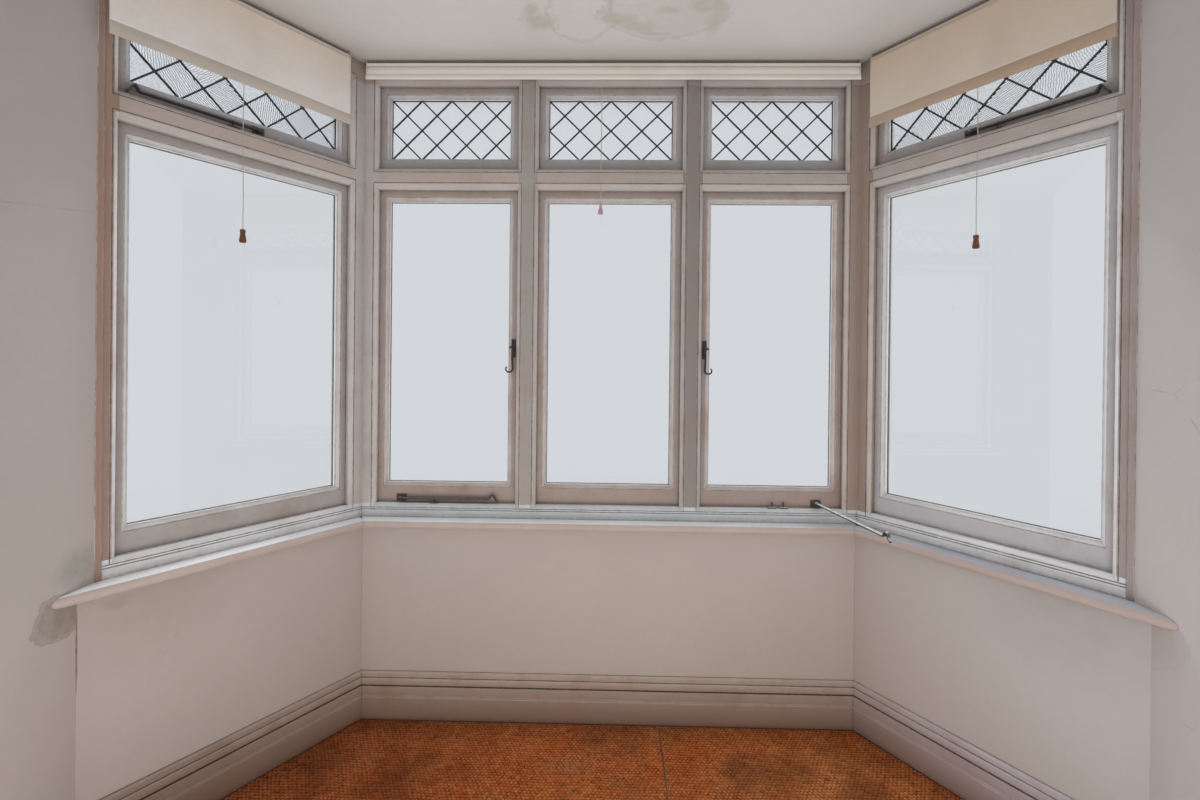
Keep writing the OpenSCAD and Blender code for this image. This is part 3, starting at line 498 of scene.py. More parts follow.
paint = {
    "colour": (0.46, 0.41, 0.38), "right": (0.44, 0.39, 0.36), "rightFrom": -0.35, "rightTo": 0.35,
    "mirrored": False, "strokes": (60.0, 60.0, 60.0), "strokeAmount": 0.16,
    "bandLighting": (0.60, 0.56, 0.53), "bandLightingPlace": (0.0305, 0.0405), "bandLightingAmount": 0.75,
    "bead": (0.93, 0.93, 0.93), "beadHighlightAmount": 0.0,
    "dirt": (0.10, 0.062, 0.042), "dirtAndShadeAmount": 0.6, "crease": 0.6,
    "thin": (0.27, 0.165, 0.115), "thinAmount": 0.25, "pale": (0.82, 0.80, 0.79), "highlightAmount": 0.85,
    "bare": (0.16, 0.085, 0.045), "chips": 0.45, "roughness": 0.42, "outer": (0.60, 0.58, 0.53),
    "foot": (0.0, 0.01, 0.0), "footColour": (0.20, 0.125, 0.09), "specks": 0.6,
    "leftTone": (1, 1, 1), "rightTone": (1, 1, 1),
}
# Brush strokes run along a member: level ones on rails, upright ones on posts
level, upright = (6.0, 60.0, 260.0), (260.0, 60.0, 6.0)
wide = {"rightFrom": -0.9, "rightTo": 0.9}
sashes = {"bandLightingPlace": (0.0595, 0.0745), "strokeAmount": 0.0}
# What sets each kind of member apart: mostly painted light and shade, as each kind is a lit or shaded copy of
# the one paint, with its own strokes and thin paint
paintKinds = {
    "mullion": {"colour": (0.40, 0.37, 0.345), "right": (0.27, 0.243, 0.228), "strokes": upright,
                "crease": 0.45, "bandLighting": (0.54, 0.50, 0.475)},
    "post": {"colour": (0.50, 0.47, 0.45), "right": (0.33, 0.258, 0.22), **wide, "thinAmount": 0.35,
             "strokes": upright},
    "jamb": {"colour": (0.35, 0.23, 0.185), "right": (0.375, 0.315, 0.30), **wide, "thinAmount": 0.5,
             "strokes": upright, "bandLighting": (0.76, 0.74, 0.73), "bandLightingAmount": 0.9},
    "rail": {"colour": (0.51, 0.435, 0.39), "right": (0.47, 0.42, 0.39), "specks": 1.0,
             "strokes": level, "bandLighting": (0.58, 0.54, 0.51)},
    "head": {"colour": (0.435, 0.36, 0.31), "right": (0.41, 0.35, 0.31), "specks": 1.0,
             "strokes": level, "bandLighting": (0.54, 0.49, 0.45)},
    "sash": {"colour": (0.405, 0.345, 0.315), "right": (0.38, 0.32, 0.295), "thinAmount": 0.5, **sashes,
             "foot": (0.93, 1.03, 0.45), "footColour": (0.30, 0.20, 0.165),
             "bandLighting": (0.60, 0.555, 0.53), "beadHighlightAmount": 0.9},
    "sideSash": {"colour": (0.41, 0.38, 0.365), "right": (0.50, 0.50, 0.52), **wide, "thinAmount": 0.4,
                 **sashes, "bandLighting": (0.70, 0.69, 0.685), "beadHighlightAmount": 0.9},
    "topSash": {"colour": (0.42, 0.385, 0.365), "right": (0.40, 0.365, 0.35), "thinAmount": 0.4, **sashes,
                "foot": (2.17, 2.23, 0.7), "footColour": (0.26, 0.29, 0.335),
                "bandLighting": (0.56, 0.56, 0.57), "beadHighlightAmount": 0.8},
    "board": {"colour": (0.90, 0.90, 0.91), "right": (0.46, 0.48, 0.53), "rightFrom": 0.5,
              "rightTo": 1.05, "thinAmount": 0.15, "bandLighting": (0.50, 0.40, 0.36),
              "bandLightingPlace": (-0.05, -0.027), "bandLightingAmount": 0.9,
              "dirtAndShadeAmount": 0.35, "specks": 1.0, "strokes": level, "strokeAmount": 0.08},
    "sill": {"colour": (0.60, 0.65, 0.68), "right": (0.78, 0.79, 0.81), "rightFrom": 0.86,
             "rightTo": 1.0, "mirrored": True, "thinAmount": 0.25, "bandLightingAmount": 0.0,
             "dirt": (0.10, 0.098, 0.085), "dirtAndShadeAmount": 0.7, "specks": 1.0, "strokes": level},
    "skirting": {"colour": (0.465, 0.40, 0.355), "right": (0.37, 0.31, 0.275), "rightFrom": 0.9,
                 "rightTo": 1.3, "mirrored": True, "leftTone": (0.80, 0.75, 0.72),
                 "rightTone": (1.33, 1.50, 1.88), "thinAmount": 0.5, "bandLightingAmount": 0.0,
                 "foot": (0.15, 0.31, 0.92), "footColour": (0.20, 0.118, 0.088), "crease": 0.8,
                 "specks": 1.0, "strokes": level, "pale": (0.66, 0.585, 0.52)},
}


def paintMaterial(name, p):
    t = Material(name)
    axes = bayAxes(t)
    vector, away = axes["vector"], axes["away"]
    x = t.xyz(t.place())[0]
    if p["mirrored"]:
        x = x.math("ABSOLUTE")
    strokes = t.noise(vector, p["strokes"], 3)
    # Along x the colour changes to the one given as right, on both sides alike when mirrored: painted light
    # and shade on that side
    base = t.blend(x.remap(p["rightFrom"], p["rightTo"]), p["colour"], p["right"])
    # Painted light and shade on a band at a set distance outdoors: lighter on the splays and on the mouldings
    # by the glass, where daylight catches them, and painted shade on the board's nose
    low, high = p["bandLightingPlace"]
    band = away.remap(low, low + 0.001) * away.remap(high, high - 0.001)
    base = t.blend(band * p["bandLightingAmount"], base, p["bandLighting"])
    # Darker towards the foot: on the skirtings this is painted shade by the carpet, on the top sashes painted
    # shade with a painted bluish reflection
    low, high, amount = p["foot"]
    base = t.blend(axes["height"].remap(low, high, amount, 0.0), base, p["footColour"])
    thin = t.noise(vector, 7.0, 5, 0.62).remap(0.48, 0.72)
    base = t.blend(thin * p["thinAmount"], base, p["thin"])
    base = t.blend(strokes.remap(0.42, 0.66, 0.0, p["strokeAmount"]), base, p["thin"])
    base = t.blend(away.remap(0.101, 0.099), p["outer"], base)
    # Corners darkened partly by dirt and partly by painted shade, tight creases by painted shade
    weatherAndLighting = weather(t, vector=vector, colour=base, dirt=p["dirt"], amount=p["dirtAndShadeAmount"], reach=0.022,
                   scale=3.5, contrast=0.22, crease=p["crease"])
    edge = edges(t, vector=vector, radius=0.0026, amount=p["chips"], scale=34.0)
    # Painted highlights on arrises that stand proud; none on those in a corner
    paintedHighlight = edge["edge"] * weatherAndLighting["corner"].remap(0.42, 0.18)
    paintedHighlight = paintedHighlight * t.noise(vector, 12.0, 4).remap(0.35, 0.6, 0.25, 1.0)
    specks = t.noise(vector, 210.0, 2, 0.8).remap(0.68, 0.76) * t.noise(vector, 4.0, 3).remap(0.45, 0.65)
    colour = t.blend(paintedHighlight * p["highlightAmount"], weatherAndLighting["colour"], p["pale"])
    colour = t.blend(specks * p["specks"], colour, p["dirt"])
    colour = t.blend(edge["mask"], colour, p["bare"])
    # Side tones: on the skirtings painted light and shade, darker and warmer on the left, bluer on the right
    colour = toned(t, colour, p)
    # A painted highlight on the sash moulding beside the glass
    bead = away.remap(0.0745, 0.0755) * away.remap(0.0815, 0.0805)
    colour = t.blend(bead * p["beadHighlightAmount"], colour, p["bead"])
    height = strokes * 0.5 + weatherAndLighting["mottle"] * 0.5 - edge["mask"] * 0.8
    rough = weatherAndLighting["mottle"] * 0.12 + p["roughness"] + edge["mask"] * 0.3
    return t.look(colour=colour, rough=rough, normal=t.bump(height, 0.35, 0.0012, Normal=edge["normal"]))


plaster = {
    "inner": (0.508, 0.46, 0.43), "outer": (0.66, 0.63, 0.55), "dirt": (0.20, 0.145, 0.11),
    "dirtAndShadeAmount": 0.42, "leftTone": (0.92, 0.89, 0.89), "rightTone": (1.0, 1.04, 1.09), "roughness": 0.72,
    "splash": (0.24, 0.23, 0.16), "run": (0.30, 0.285, 0.235),   # weather on the outside
}


def plasterMaterial(name, p, patches=(), innerBelow=None, crackScale=1.6):
    # innerBelow: the room side is where the distance outdoors is less than this, in metres
    t = Material(name)
    place = t.place()
    if innerBelow is None:
        inside = t.xyz(place)[1].remap(bay["mouthY"] + 0.001, bay["mouthY"] - 0.001)
    else:
        inside = bayAxes(t)["away"].remap(innerBelow + 0.001, innerBelow - 0.001)
    # Side tones of painted light and shade: darker and warmer on the left, cooler on the right
    inner = toned(t, p["inner"], p)
    height = t.xyz(place)[2]
    ragged = t.noise(place, 11.0, 5, 0.65)
    splash = height.remap(0.42, 0.0) * ragged.remap(0.35, 0.65, 0.3, 1.0)
    washed = height.remap(0.35, 0.85) * t.noise(place, (34.0, 34.0, 1.6), 4, 0.6).remap(0.48, 0.70)
    base = t.blend(inside, t.blend(splash * 0.55, p["outer"], p["splash"]), inner)
    base = t.blend(washed * (1.0 - inside) * 0.38, base, p["run"])
    # Corners and the wall under the board darkened partly by dirt and partly by painted shade
    weatherAndLighting = weather(t, vector=place, colour=base, dirt=p["dirt"], amount=p["dirtAndShadeAmount"], reach=0.13,
                   scale=1.7, contrast=0.16)
    colour, relief = weatherAndLighting["colour"], weatherAndLighting["mottle"] * 0.4
    crack = t.add("TexVoronoi", {"Vector": place, "Scale": crackScale, "Randomness": 1.0}, "Distance",
                  feature="DISTANCE_TO_EDGE")
    crack = (crack + t.noise(place, 30.0, 4) * 0.012).remap(0.0075, 0.0055)
    crack = crack * t.noise(place, 1.3, 2).remap(0.58, 0.66)
    colour = t.blend(crack * 0.3, colour, p["dirt"])
    relief = relief - crack * 0.6
    for spot in patches:
        found = patch(t, **{key: spot[key] for key in spotKeys[:5]})
        colour = t.blend(found["mask"] * spot["strength"], colour, spot["colour"])
        colour = t.blend(found["rim"] * spot["rim"], colour, p["dirt"])
        relief = relief - found["mask"] * spot["deep"]
    coarse = t.noise(place, 38.0, 3, 0.5)
    relief = relief + t.noise(place, 420.0, 2, 0.6) * 0.10 + coarse * 0.22
    return t.look(colour=colour, rough=coarse * 0.15 + p["roughness"], normal=t.bump(relief, 0.5, 0.002),
                  specular=0.3)


carpet = {
    "thread": (0.62, 0.13, 0.026), "pale": (0.96, 0.39, 0.135), "deep": (0.055, 0.013, 0.004),
    "soil": (0.10, 0.032, 0.012), "tip": (0.98, 0.56, 0.29), "faded": (0.52, 0.30, 0.17),
    "crumbs": (0.018, 0.012, 0.010), "leftTone": (0.72, 0.66, 0.68), "rightTone": (1, 1, 1),
    "pitchX": 0.013, "pitchY": 0.0116, "wander": 0.0018, "knot": 0.0032, "thickness": 0.008,
    "skirting": 0.020, "cut": 0.002,   # the cut edge is kept this far off the skirting
}


def carpetMaterial(name, p):
    t = Material(name)
    place = t.place()
    knot = knots(t, pitchX=p["pitchX"], pitchY=p["pitchY"], wander=p["wander"])
    fibre = t.noise(place, 900.0, 3, 0.7)
    mix = knot["random"] * 0.40 + fibre * 0.65 + (t.noise(place, 2.3, 4, 0.6) - 0.5) * 1.1
    thread = t.blend(mix.remap(0.25, 0.95), p["thread"], p["pale"])
    faded = patch(t, centre=(-0.11, 0.07, 0.155), size=(0.12, 0.05, 0.4), rag=2.2, scale=22.0, soft=0.8)
    thread = t.blend(faded["mask"] * 0.4, thread, p["faded"])
    # Dark between the knots: painted shade in the gaps
    gap = (knot["dome"] + t.noise(place, 85.0, 4, 0.75) * 2.6).remap(1.95, 1.05)
    colour = t.blend(gap * 0.92, thread, p["deep"])
    colour = t.blend(knot["random"].remap(0.78, 1.0, 0.0, 0.4), colour, p["soil"])
    # Painted highlights on the knots' tops
    knotHighlights = t.noise(place, 190.0, 2, 0.8).remap(0.56, 0.70) * knot["dome"]
    colour = t.blend(knotHighlights * 0.8, colour, p["tip"])
    # Soiled broad patches, a darker band along the skirting, and crumbs of dirt that gather along the
    # skirting
    colour = t.blend(t.noise(place, 4.1, 5, 0.65).remap(0.47, 0.66, 0.0, 0.5), colour, p["soil"])
    rim = bayAxes(t)["away"].remap(-0.15, -0.025)
    colour = t.blend(rim * 0.35, colour, p["soil"])
    colour = t.blend(t.noise(place, 74.0, 3, 0.7).remap(0.60, 0.64) * rim, colour, p["crumbs"])
    # Darker towards the left
    colour = toned(t, colour, p, 0.3, 0.8)
    height = knot["dome"] * 1.0 + knot["strand"] * 0.14 + fibre * 0.3
    return t.look(colour=colour, rough=0.86, normal=t.bump(height, 0.8, 0.002), specular=0.08, sheen=0.06,
                  sheenTint=(1.0, 0.6, 0.35))


def metalMaterial(name, colour, under, metal, roughness, scale, amount, paintedHighlight=None):
    # A dark finish over metal that shows through at worn edges; the optional last colour is a painted
    # highlight on its upper faces, most on the right
    t = Material(name)
    place = t.place()
    edge = edges(t, vector=place, radius=0.0006, amount=amount, scale=scale)
    grain = t.noise(place, scale * 4, 4, 0.7)
    tone = t.blend(grain.remap(0.35, 0.8, 0.0, 0.5), colour, under)
    if paintedHighlight:
        # Painted highlight on the upper faces, most on the right
        rise = t.xyz(t.add("NewGeometry", out="True Normal"))[2]
        weatherAndLighting = rise.remap(0.35, 0.8) * t.xyz(place)[0].remap(0.3, 0.5, 0.22, 0.9)
        tone = t.blend(weatherAndLighting * t.noise(place, 130.0, 3).remap(0.3, 0.45, 0.5, 1.0), tone, paintedHighlight)
    return t.look(colour=t.blend(edge["mask"], tone, under), metal=metal, rough=grain * 0.25 + roughness,
                  normal=t.bump(grain, 0.3, 0.0004, Normal=edge["normal"]))


def leadRoofMaterial(name):
    # Dull lead with pale oxide streaks that run down the fall
    t = Material(name)
    place = t.place()
    blotch = t.noise(place, 5.0, 5, 0.6)
    # Corners darkened partly by dirt and partly by painted shade
    weatherAndLighting = weather(t, vector=place, colour=(0.23, 0.235, 0.25), dirt=(0.06, 0.055, 0.05), amount=0.7,
                   reach=0.05, scale=4.0, contrast=0.35)
    oxide = t.noise(place, (24.0, 2.2, 6.0), 5, 0.65).remap(0.5, 0.72) * blotch.remap(0.35, 0.6)
    return t.look(colour=t.blend(oxide * 0.55, weatherAndLighting["colour"], (0.52, 0.53, 0.54)), metal=0.35,
                  rough=oxide.remap(0.0, 1.0, 0.5, 0.8), normal=t.bump(blotch + weatherAndLighting["mottle"], 0.5, 0.004))


def stoneMaterial(name, colour, dirt):
    # Fine pits over a drifting tone, with darkening in corners that is partly dirt and partly painted shade,
    # and dirt on worn edges
    t = Material(name)
    place = t.place()
    weatherAndLighting = weather(t, vector=place, colour=colour, dirt=dirt, amount=0.8, reach=0.06, scale=6.0, contrast=0.5)
    pits = t.add("TexVoronoi", {"Vector": place, "Scale": 240.0}, "Distance")
    edge = edges(t, vector=place, radius=0.004, amount=0.6, scale=22.0)
    return t.look(colour=t.blend(edge["mask"], weatherAndLighting["colour"], dirt), rough=0.85,
                  normal=t.bump(pits + weatherAndLighting["mottle"], 0.5, 0.002, Normal=edge["normal"]))


def glassMaterial(name, tint, textured=False):
    # Plain glass; daylight passes it unshadowed, and dust dulls it a little
    t = Material(name)
    place = t.place()
    if textured:
        uv = t.uv()
        cell = t.add("VectorMath", {0: uv}, operation="FLOOR")
        chance = t.add("TexWhiteNoise", {"Vector": cell}, noise_dimensions="2D")
        swung = t.add("VectorRotate", {"Vector": uv, "Angle": chance * 3.14}, rotation_type="Z_AXIS")
        waves = t.add("TexWave", {"Vector": swung, "Scale": 4.2, "Distortion": 5.0, "Detail": 2.0,
                                  "Detail Scale": 1.2}, "Fac", wave_profile="SIN")
        hammer = t.add("TexVoronoi", {"Vector": swung, "Scale": 26.0}, "Distance", feature="SMOOTH_F1")
        # The side lights have strongly rippled quarries among stippled ones, the front ones only stipple
        sideways = t.xyz(place)[0].math("ABSOLUTE").remap(0.88, 0.92)
        relief = t.pick(chance.remap(0.20, 0.25) * sideways, hammer, waves)
        # The ripples are painted darker and greyer: painted shade for the view bent through them
        rippleShade = relief.remap(0.75, 0.1) * sideways.remap(0, 1, 0.12, 1.0)
        t.look(colour=t.blend(rippleShade, tint, (0.74, 0.78, 0.80)), rough=0.08, normal=t.bump(relief, 0.7, 0.0015))
    else:
        dust = t.noise(place, 7.0, 5, 0.7).remap(0.55, 0.8, 0.0, 0.05)
        t.look(colour=tint, rough=dust, normal=t.bump(t.noise(place, 5.0, 2, 0.5), 0.08, 0.002))
    clear = t.add("BsdfTransparent", {"Color": (0.93, 0.95, 0.95)})
    t.feed(t.output, t.add("MixShader", {0: t.add("LightPath", out="Is Shadow Ray"), 1: t.surface, 2: clear}))
    return t.look(transmission=1.0, ior=1.46)


def clothMaterial(name, colour, stain, upper=None):
    # Fine weave along the cloth's own uv, in metres, with faint water marks; "upper" is its tone near
    # the roll, above the part that the window lights from behind
    t = Material(name)
    uv, place = t.uv(), t.place()
    x, y, _ = t.xyz(uv)
    weave = (x * 5200.0).math("SINE") * (y * 5200.0).math("SINE")
    slub = t.noise(uv, (9.0, 420.0, 1.0), 3, 0.6)
    marks = t.noise(place, 3.0, 6, 0.65).remap(0.50, 0.72)
    lit = t.xyz(place)[2].remap(2.49, 2.35)
    tone = t.blend(marks * 0.45, t.blend(lit, upper or colour, colour), stain)
    tone = t.blend(slub.remap(0.4, 0.75, 0.0, 0.14), tone, stain)
    return t.look(colour=tone, rough=0.8, normal=t.bump(weave * 0.3 + slub, 0.25, 0.0004), sheen=0.2)


def cordMaterial(name):
    # Two plies wound round the cord: stripes that climb with the uv along it
    t = Material(name)
    x, y, _ = t.xyz(t.uv())
    ply = (x * 900.0 + y * 12.566).math("SINE")
    colour = t.blend(ply.remap(-1.0, 0.2), (0.22, 0.20, 0.175), (0.60, 0.57, 0.52))
    return t.look(colour=colour, rough=0.75, normal=t.bump(ply, 0.6, 0.0003))


def pullMaterial(name, colour, dark, rough, stretch):
    # Noise stretched along the grain of the wood, or even in the dyed one
    t = Material(name)
    grain = t.noise(t.place(), stretch, 4, 0.6)
    return t.look(colour=t.blend(grain.remap(0.35, 0.7), dark, colour), rough=rough,
                  normal=t.bump(grain, 0.2, 0.0003))


spotKeys = "centre size rag scale soft strength rim deep colour".split()
dampSpots = [dict(zip(spotKeys, row)) for row in (
    # Below the left horn of the board, where water has lifted the paint from the return
    ((-bay["mouthX"], -0.405, 0.822), (0.06, 0.085, 0.052), 1.1, 15.0, 0.3, 1.0, 0.35, 0.6,
     (0.285, 0.24, 0.20)),
    ((-bay["mouthX"], -0.35, 0.925), (0.05, 0.075, 0.06), 1.5, 19.0, 0.7, 0.9, 0.06, 0.2,
     (0.32, 0.31, 0.275)),
    ((-1.278, -0.304, 0.81), (0.03, 0.045, 0.022), 1.8, 30.0, 0.5, 0.6, 0.0, 0.3, (0.33, 0.29, 0.25)),
    # The crack where the return meets the apron
    ((-bay["mouthX"], bay["cornerY"], 0.71), (0.003, 0.003, 0.13), 0.9, 22.0, 0.6, 0.8, 0.0, 1.0,
     (0.12, 0.085, 0.065)),
    # Painted shadow of the board's horn below it on the right return
    ((bay["mouthX"], -0.345, 0.80), (0.05, 0.10, 0.08), 1.1, 14.0, 0.4, 0.4, 0.08, 0.4,
     (0.40, 0.37, 0.35)),
)]
# The apron's sides are greyer below the ends of the board: painted shade under it
underBoardShade = [dict(zip(spotKeys, ((x, -0.24, 0.83), (0.22, 0.34, 0.26), 0.3, 6.0, 0.9, strength, 0.0, 0.0,
                             colour)))
         for x, strength, colour in ((-1.24, 0.5, (0.34, 0.27, 0.235)), (1.24, 0.55, (0.35, 0.31, 0.285)))]
# Peeled and stained paint above the front: centre x, y, half sizes, rag, soft edge, strength and rim
ceilingMarks = [
    (0.17, 0.05, 0.20, 0.13, 0.9, 0.3, 0.40, 0.16), (0.33, 0.08, 0.035, 0.12, 1.1, 0.8, 0.9, 0.0),
    (0.30, 0.00, 0.075, 0.05, 1.4, 0.5, 1.0, 0.0), (-0.10, 0.05, 0.11, 0.14, 0.8, 0.1, 0.0, 0.16),
    (-0.23, 0.08, 0.065, 0.05, 1.7, 0.6, 1.0, 0.10), (-0.25, 0.01, 0.03, 0.06, 1.7, 0.6, 0.9, 0.0),
    (0.02, 0.06, 0.075, 0.04, 1.9, 0.5, 1.0, 0.12), (0.155, 0.15, 0.06, 0.014, 1.4, 0.7, 1.0, 0.0),
    (0.10, 0.11, 0.09, 0.05, 1.7, 0.7, 0.7, 0.0), (0.18, 0.02, 0.05, 0.03, 1.7, 0.6, 0.8, 0.0),
]
ceilingSpots = [dict(zip(spotKeys, ((x, y, 2.55), (w, d, 0.1), rag, 13.0, soft, strength, rim, 0.5,
                                    (0.50, 0.46, 0.375))))
                for x, y, w, d, rag, soft, strength, rim in ceilingMarks]

made = {
    "deck": paintMaterial("roofTimberPaint", paint),
    "apron": plasterMaterial("apronPlaster", plaster, underBoardShade + dampSpots[2:4], innerBelow=0.1),
    "pier": plasterMaterial("returnPlaster", plaster, dampSpots),
    "ceiling": plasterMaterial("ceilingPaint", dict(plaster, inner=(0.64, 0.605, 0.56), dirtAndShadeAmount=0.14),
                               ceilingSpots, innerBelow=2.0, crackScale=1.1),
    "carpet": carpetMaterial("sisalWeave", carpet),
    "concrete": stoneMaterial("floorConcrete", (0.42, 0.41, 0.39), (0.2, 0.19, 0.17)),
    "stone": stoneMaterial("paintedStone", (0.55, 0.52, 0.46), (0.16, 0.15, 0.12)),
    "roof": leadRoofMaterial("roofLead"),
    "came": metalMaterial("leadCame", (0.030, 0.031, 0.035), (0.16, 0.165, 0.17), 0.5, 0.42, 60, 0.7),
    "iron": metalMaterial("blackIron", (0.012, 0.012, 0.013), (0.20, 0.18, 0.17), 0.4, 0.30, 90, 0.8),
    "stay": metalMaterial("stayIron", (0.016, 0.015, 0.015), (0.26, 0.24, 0.225), 0.3, 0.30, 90, 0.8,
                          paintedHighlight=(0.90, 0.90, 0.90)),
    "bracket": metalMaterial("bracketPaint", (0.52, 0.48, 0.44), (0.20, 0.17, 0.15), 0.0, 0.45, 90, 0.6),
    "clear": glassMaterial("windowGlass", (0.97, 0.985, 0.98)),
    "quarry": glassMaterial("hammeredGlass", (0.985, 0.99, 0.99), textured=True),
    # Lit and shaded copies of one cream cloth: the right blind and the side hems darker with painted shade,
    # the front roll lighter with painted light
    "leftCloth": clothMaterial("leftCloth", (0.82, 0.785, 0.745), (0.60, 0.53, 0.45), (0.765, 0.66, 0.577)),
    "rightCloth": clothMaterial("rightCloth", (0.68, 0.595, 0.505), (0.50, 0.42, 0.33), (0.64, 0.525, 0.405)),
    "frontCloth": clothMaterial("frontCloth", (0.83, 0.775, 0.72), (0.58, 0.50, 0.42)),
    "leftHem": clothMaterial("leftHem", (0.57, 0.51, 0.45), (0.40, 0.34, 0.28)),
    "rightHem": clothMaterial("rightHem", (0.48, 0.355, 0.265), (0.36, 0.26, 0.19)),
    "roll": clothMaterial("rolledCloth", (0.97, 0.93, 0.87), (0.62, 0.55, 0.46)),
    "cord": cordMaterial("twistedCord"),
    "mauve": pullMaterial("mauvePull", (0.55, 0.42, 0.46), (0.42, 0.30, 0.34), 0.3, (90.0, 90.0, 90.0)),
    "wood": pullMaterial("woodPull", (0.23, 0.075, 0.03), (0.08, 0.028, 0.012), 0.35, (700.0, 700.0, 60.0)),
    "putty": stoneMaterial("glazingPutty", (0.60, 0.585, 0.55), (0.22, 0.2, 0.17)),
}
for kind, changes in paintKinds.items():
    made[kind] = paintMaterial(kind + "Paint", dict(paint, **changes))
print("materials ready:", len(made))

finishes = {
    "apron": "front_wall left_wall right_wall", "pier": "left_pier right_pier lintel", "ceiling": "ceiling",
    "deck": "roof_deck soffits fascias", "concrete": "bay_floor", "stone": "outer_sills",
    "roof": "lead_roof lead_flashing", "clear": "clear_glass", "mullion": "mullions",
    "post": "left_corner_post right_corner_post", "jamb": "jambs", "rail": "front_transoms side_transoms",
    "head": "frame_heads", "sash": "left_casement middle_light right_casement",
    "sideSash": "left_side_light right_side_light", "topSash": "front_top_lights side_top_lights",
    "board": "window_boards", "sill": "frame_sills", "skirting": "skirtings",
}
for finish, nodes in finishes.items():
    for name in nodes.split():
        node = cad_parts[name]
        if not node.material_slots:
            node.data.materials.append(made[finish])
        for place in node.material_slots:
            place.material = made[finish]


# Blinds: wound roll, cloth sheet, hem pocket and brackets, with the cords and pulls made first

blind = {
    "rollRadius": 0.018, "gap": 0.011, "cloth": 0.0012, "hem": 0.009, "frontHem": 0.018,
    "sideHem": 0.036, "frontDrop": 0.013, "sideDrop": 0.182, "wave": 0.0012,
    "frontCord": -0.034, "sideCord": 0.015, "cordSize": 0.0024, "pull": 0.041, "pullFoot": 0.020,
    "behind": 0.004,         # from the roll's back to the frame's face
    # How far each roll begins from its corner, and how much shorter a side roll is than its wall
    "frontSet": 0.008, "leftSet": 0.086, "rightSet": 0.062, "sideShort": 0.091,
}
blind["rollY"] = bay["face"] - blind["rollRadius"] - blind["behind"]
blind["rollZ"] = bay["ceiling"] - blind["rollRadius"] - blind["gap"]
blind["clothY"] = blind["rollY"] - blind["rollRadius"]
blind["middleY"] = blind["clothY"] - blind["cloth"] / 2
cornerAtRoll = bay["half"] + blind["rollY"] * mitre
sideBlindLength = bay["sideLength"] - blind["sideShort"]
frontEnd = cornerAtRoll - blind["frontSet"]
blinds = [{"name": "front", "side": 0, "x": (-frontEnd, frontEnd),
           "drop": blind["frontDrop"], "hem": blind["frontHem"], "cord": blind["frontCord"], "cordEnd": 446}]
for name, side in (("left", -1), ("right", 1)):
    start = sideStart + blind[name + "Set"]
    blinds.append({"name": name, "side": side, "x": (start, start + sideBlindLength),
                   "drop": blind["sideDrop"], "hem": blind["sideHem"], "cordEnd": 440})
    blinds[-1]["cord"] = sum(blinds[-1]["x"]) / 2 + blind["sideCord"]
# The cords' routes are the ones chosen in the part: drops below the hem bar and a slight sway
cordDrops = [0, 20, 50, 90, 130, 170, 210, 250, 290, 330, 370, 410]
cordSway = [0, 0, 0.5, 1, 1.5, 1.5, 1, 0.5, 0, -0.5, -0.5, 0, 0]


def makeCord(b):
    # A tube of rings along the route, whose radius swells and thins with its two plies
    top = blind["rollZ"] - blind["rollRadius"] - b["drop"] - b["hem"]
    drops = np.array(cordDrops + [b["cordEnd"]]) / 1000
    fine = np.linspace(0, drops[-1], 90)
    route = at(b["cord"] + np.interp(fine, drops, np.array(cordSway) / 1000), blind["middleY"], top - fine)
    around = np.arange(10) * 2 * np.pi / 10
    radius = blind["cordSize"] / 2 * (1 + 0.10 * np.cos(2 * around[None] - fine[:, None] * 900))
    points = at(route[:, 0, None] + radius * np.cos(around), route[:, 1, None] + radius * np.sin(around),
                route[:, 2, None])
    surface = gridSurface(onSide(points, b["side"]), wrapV=True, capU=True)
    surface["quadUv"] = surface["quadUv"] * [drops[-1], 1]
    cord = addPiece(b["name"] + "PullCord", outward(surface), made["cord"], [b["name"] + "_cord"])
    pull = makePull(b, route[-1])
    path = onSide(route, b["side"])


def makePull(b, end):
    # Turned round the cord: a collar, a waist and a flared body with a rounded foot. The front pull
    # is a slim bell with a sharper foot, the side ones are barrels with a groove below the collar
    h, r = blind["pull"], blind["pullFoot"] / 2
    collar, waist, foot = (0.008, 0.007, 0.005) if b["side"] else (0.0055, 0.00475, 0.0015)
    body = [(waist, -0.30 * h), (waist, -0.38 * h), (waist * 0.78 + r * 0.22, -0.47 * h),
            ((waist + r) / 2, -0.58 * h), (waist * 0.3 + r * 0.7, -0.68 * h), (r, -h + foot * 1.4)]
    neck = [(0.0014, 0), (0.0030, -0.0002), (collar * 0.8, -0.0006), (collar, -0.0024), (collar, -0.17 * h),
            (collar * 0.96, -0.19 * h), (waist * 1.02, -0.24 * h)]
    a = np.linspace(0, np.pi / 2, 7)
    rounding = [*at(r - foot * (1 - np.cos(a)), -h + foot * (1 - np.sin(a)))]
    centre = onSide(np.array(end), b["side"])
    shape, finish, slot = ("Barrel", "wood", "pull_wood") if b["side"] else ("Bell", "mauve", "pull_mauve")
    knob = turned(neck + body + rounding + [(0.0015, -h), (0.0012, -h + 0.002)], centre, count=32)
    return addPiece(b["name"] + shape + "Pull", knob, made[finish], [b["name"] + "_pull"])


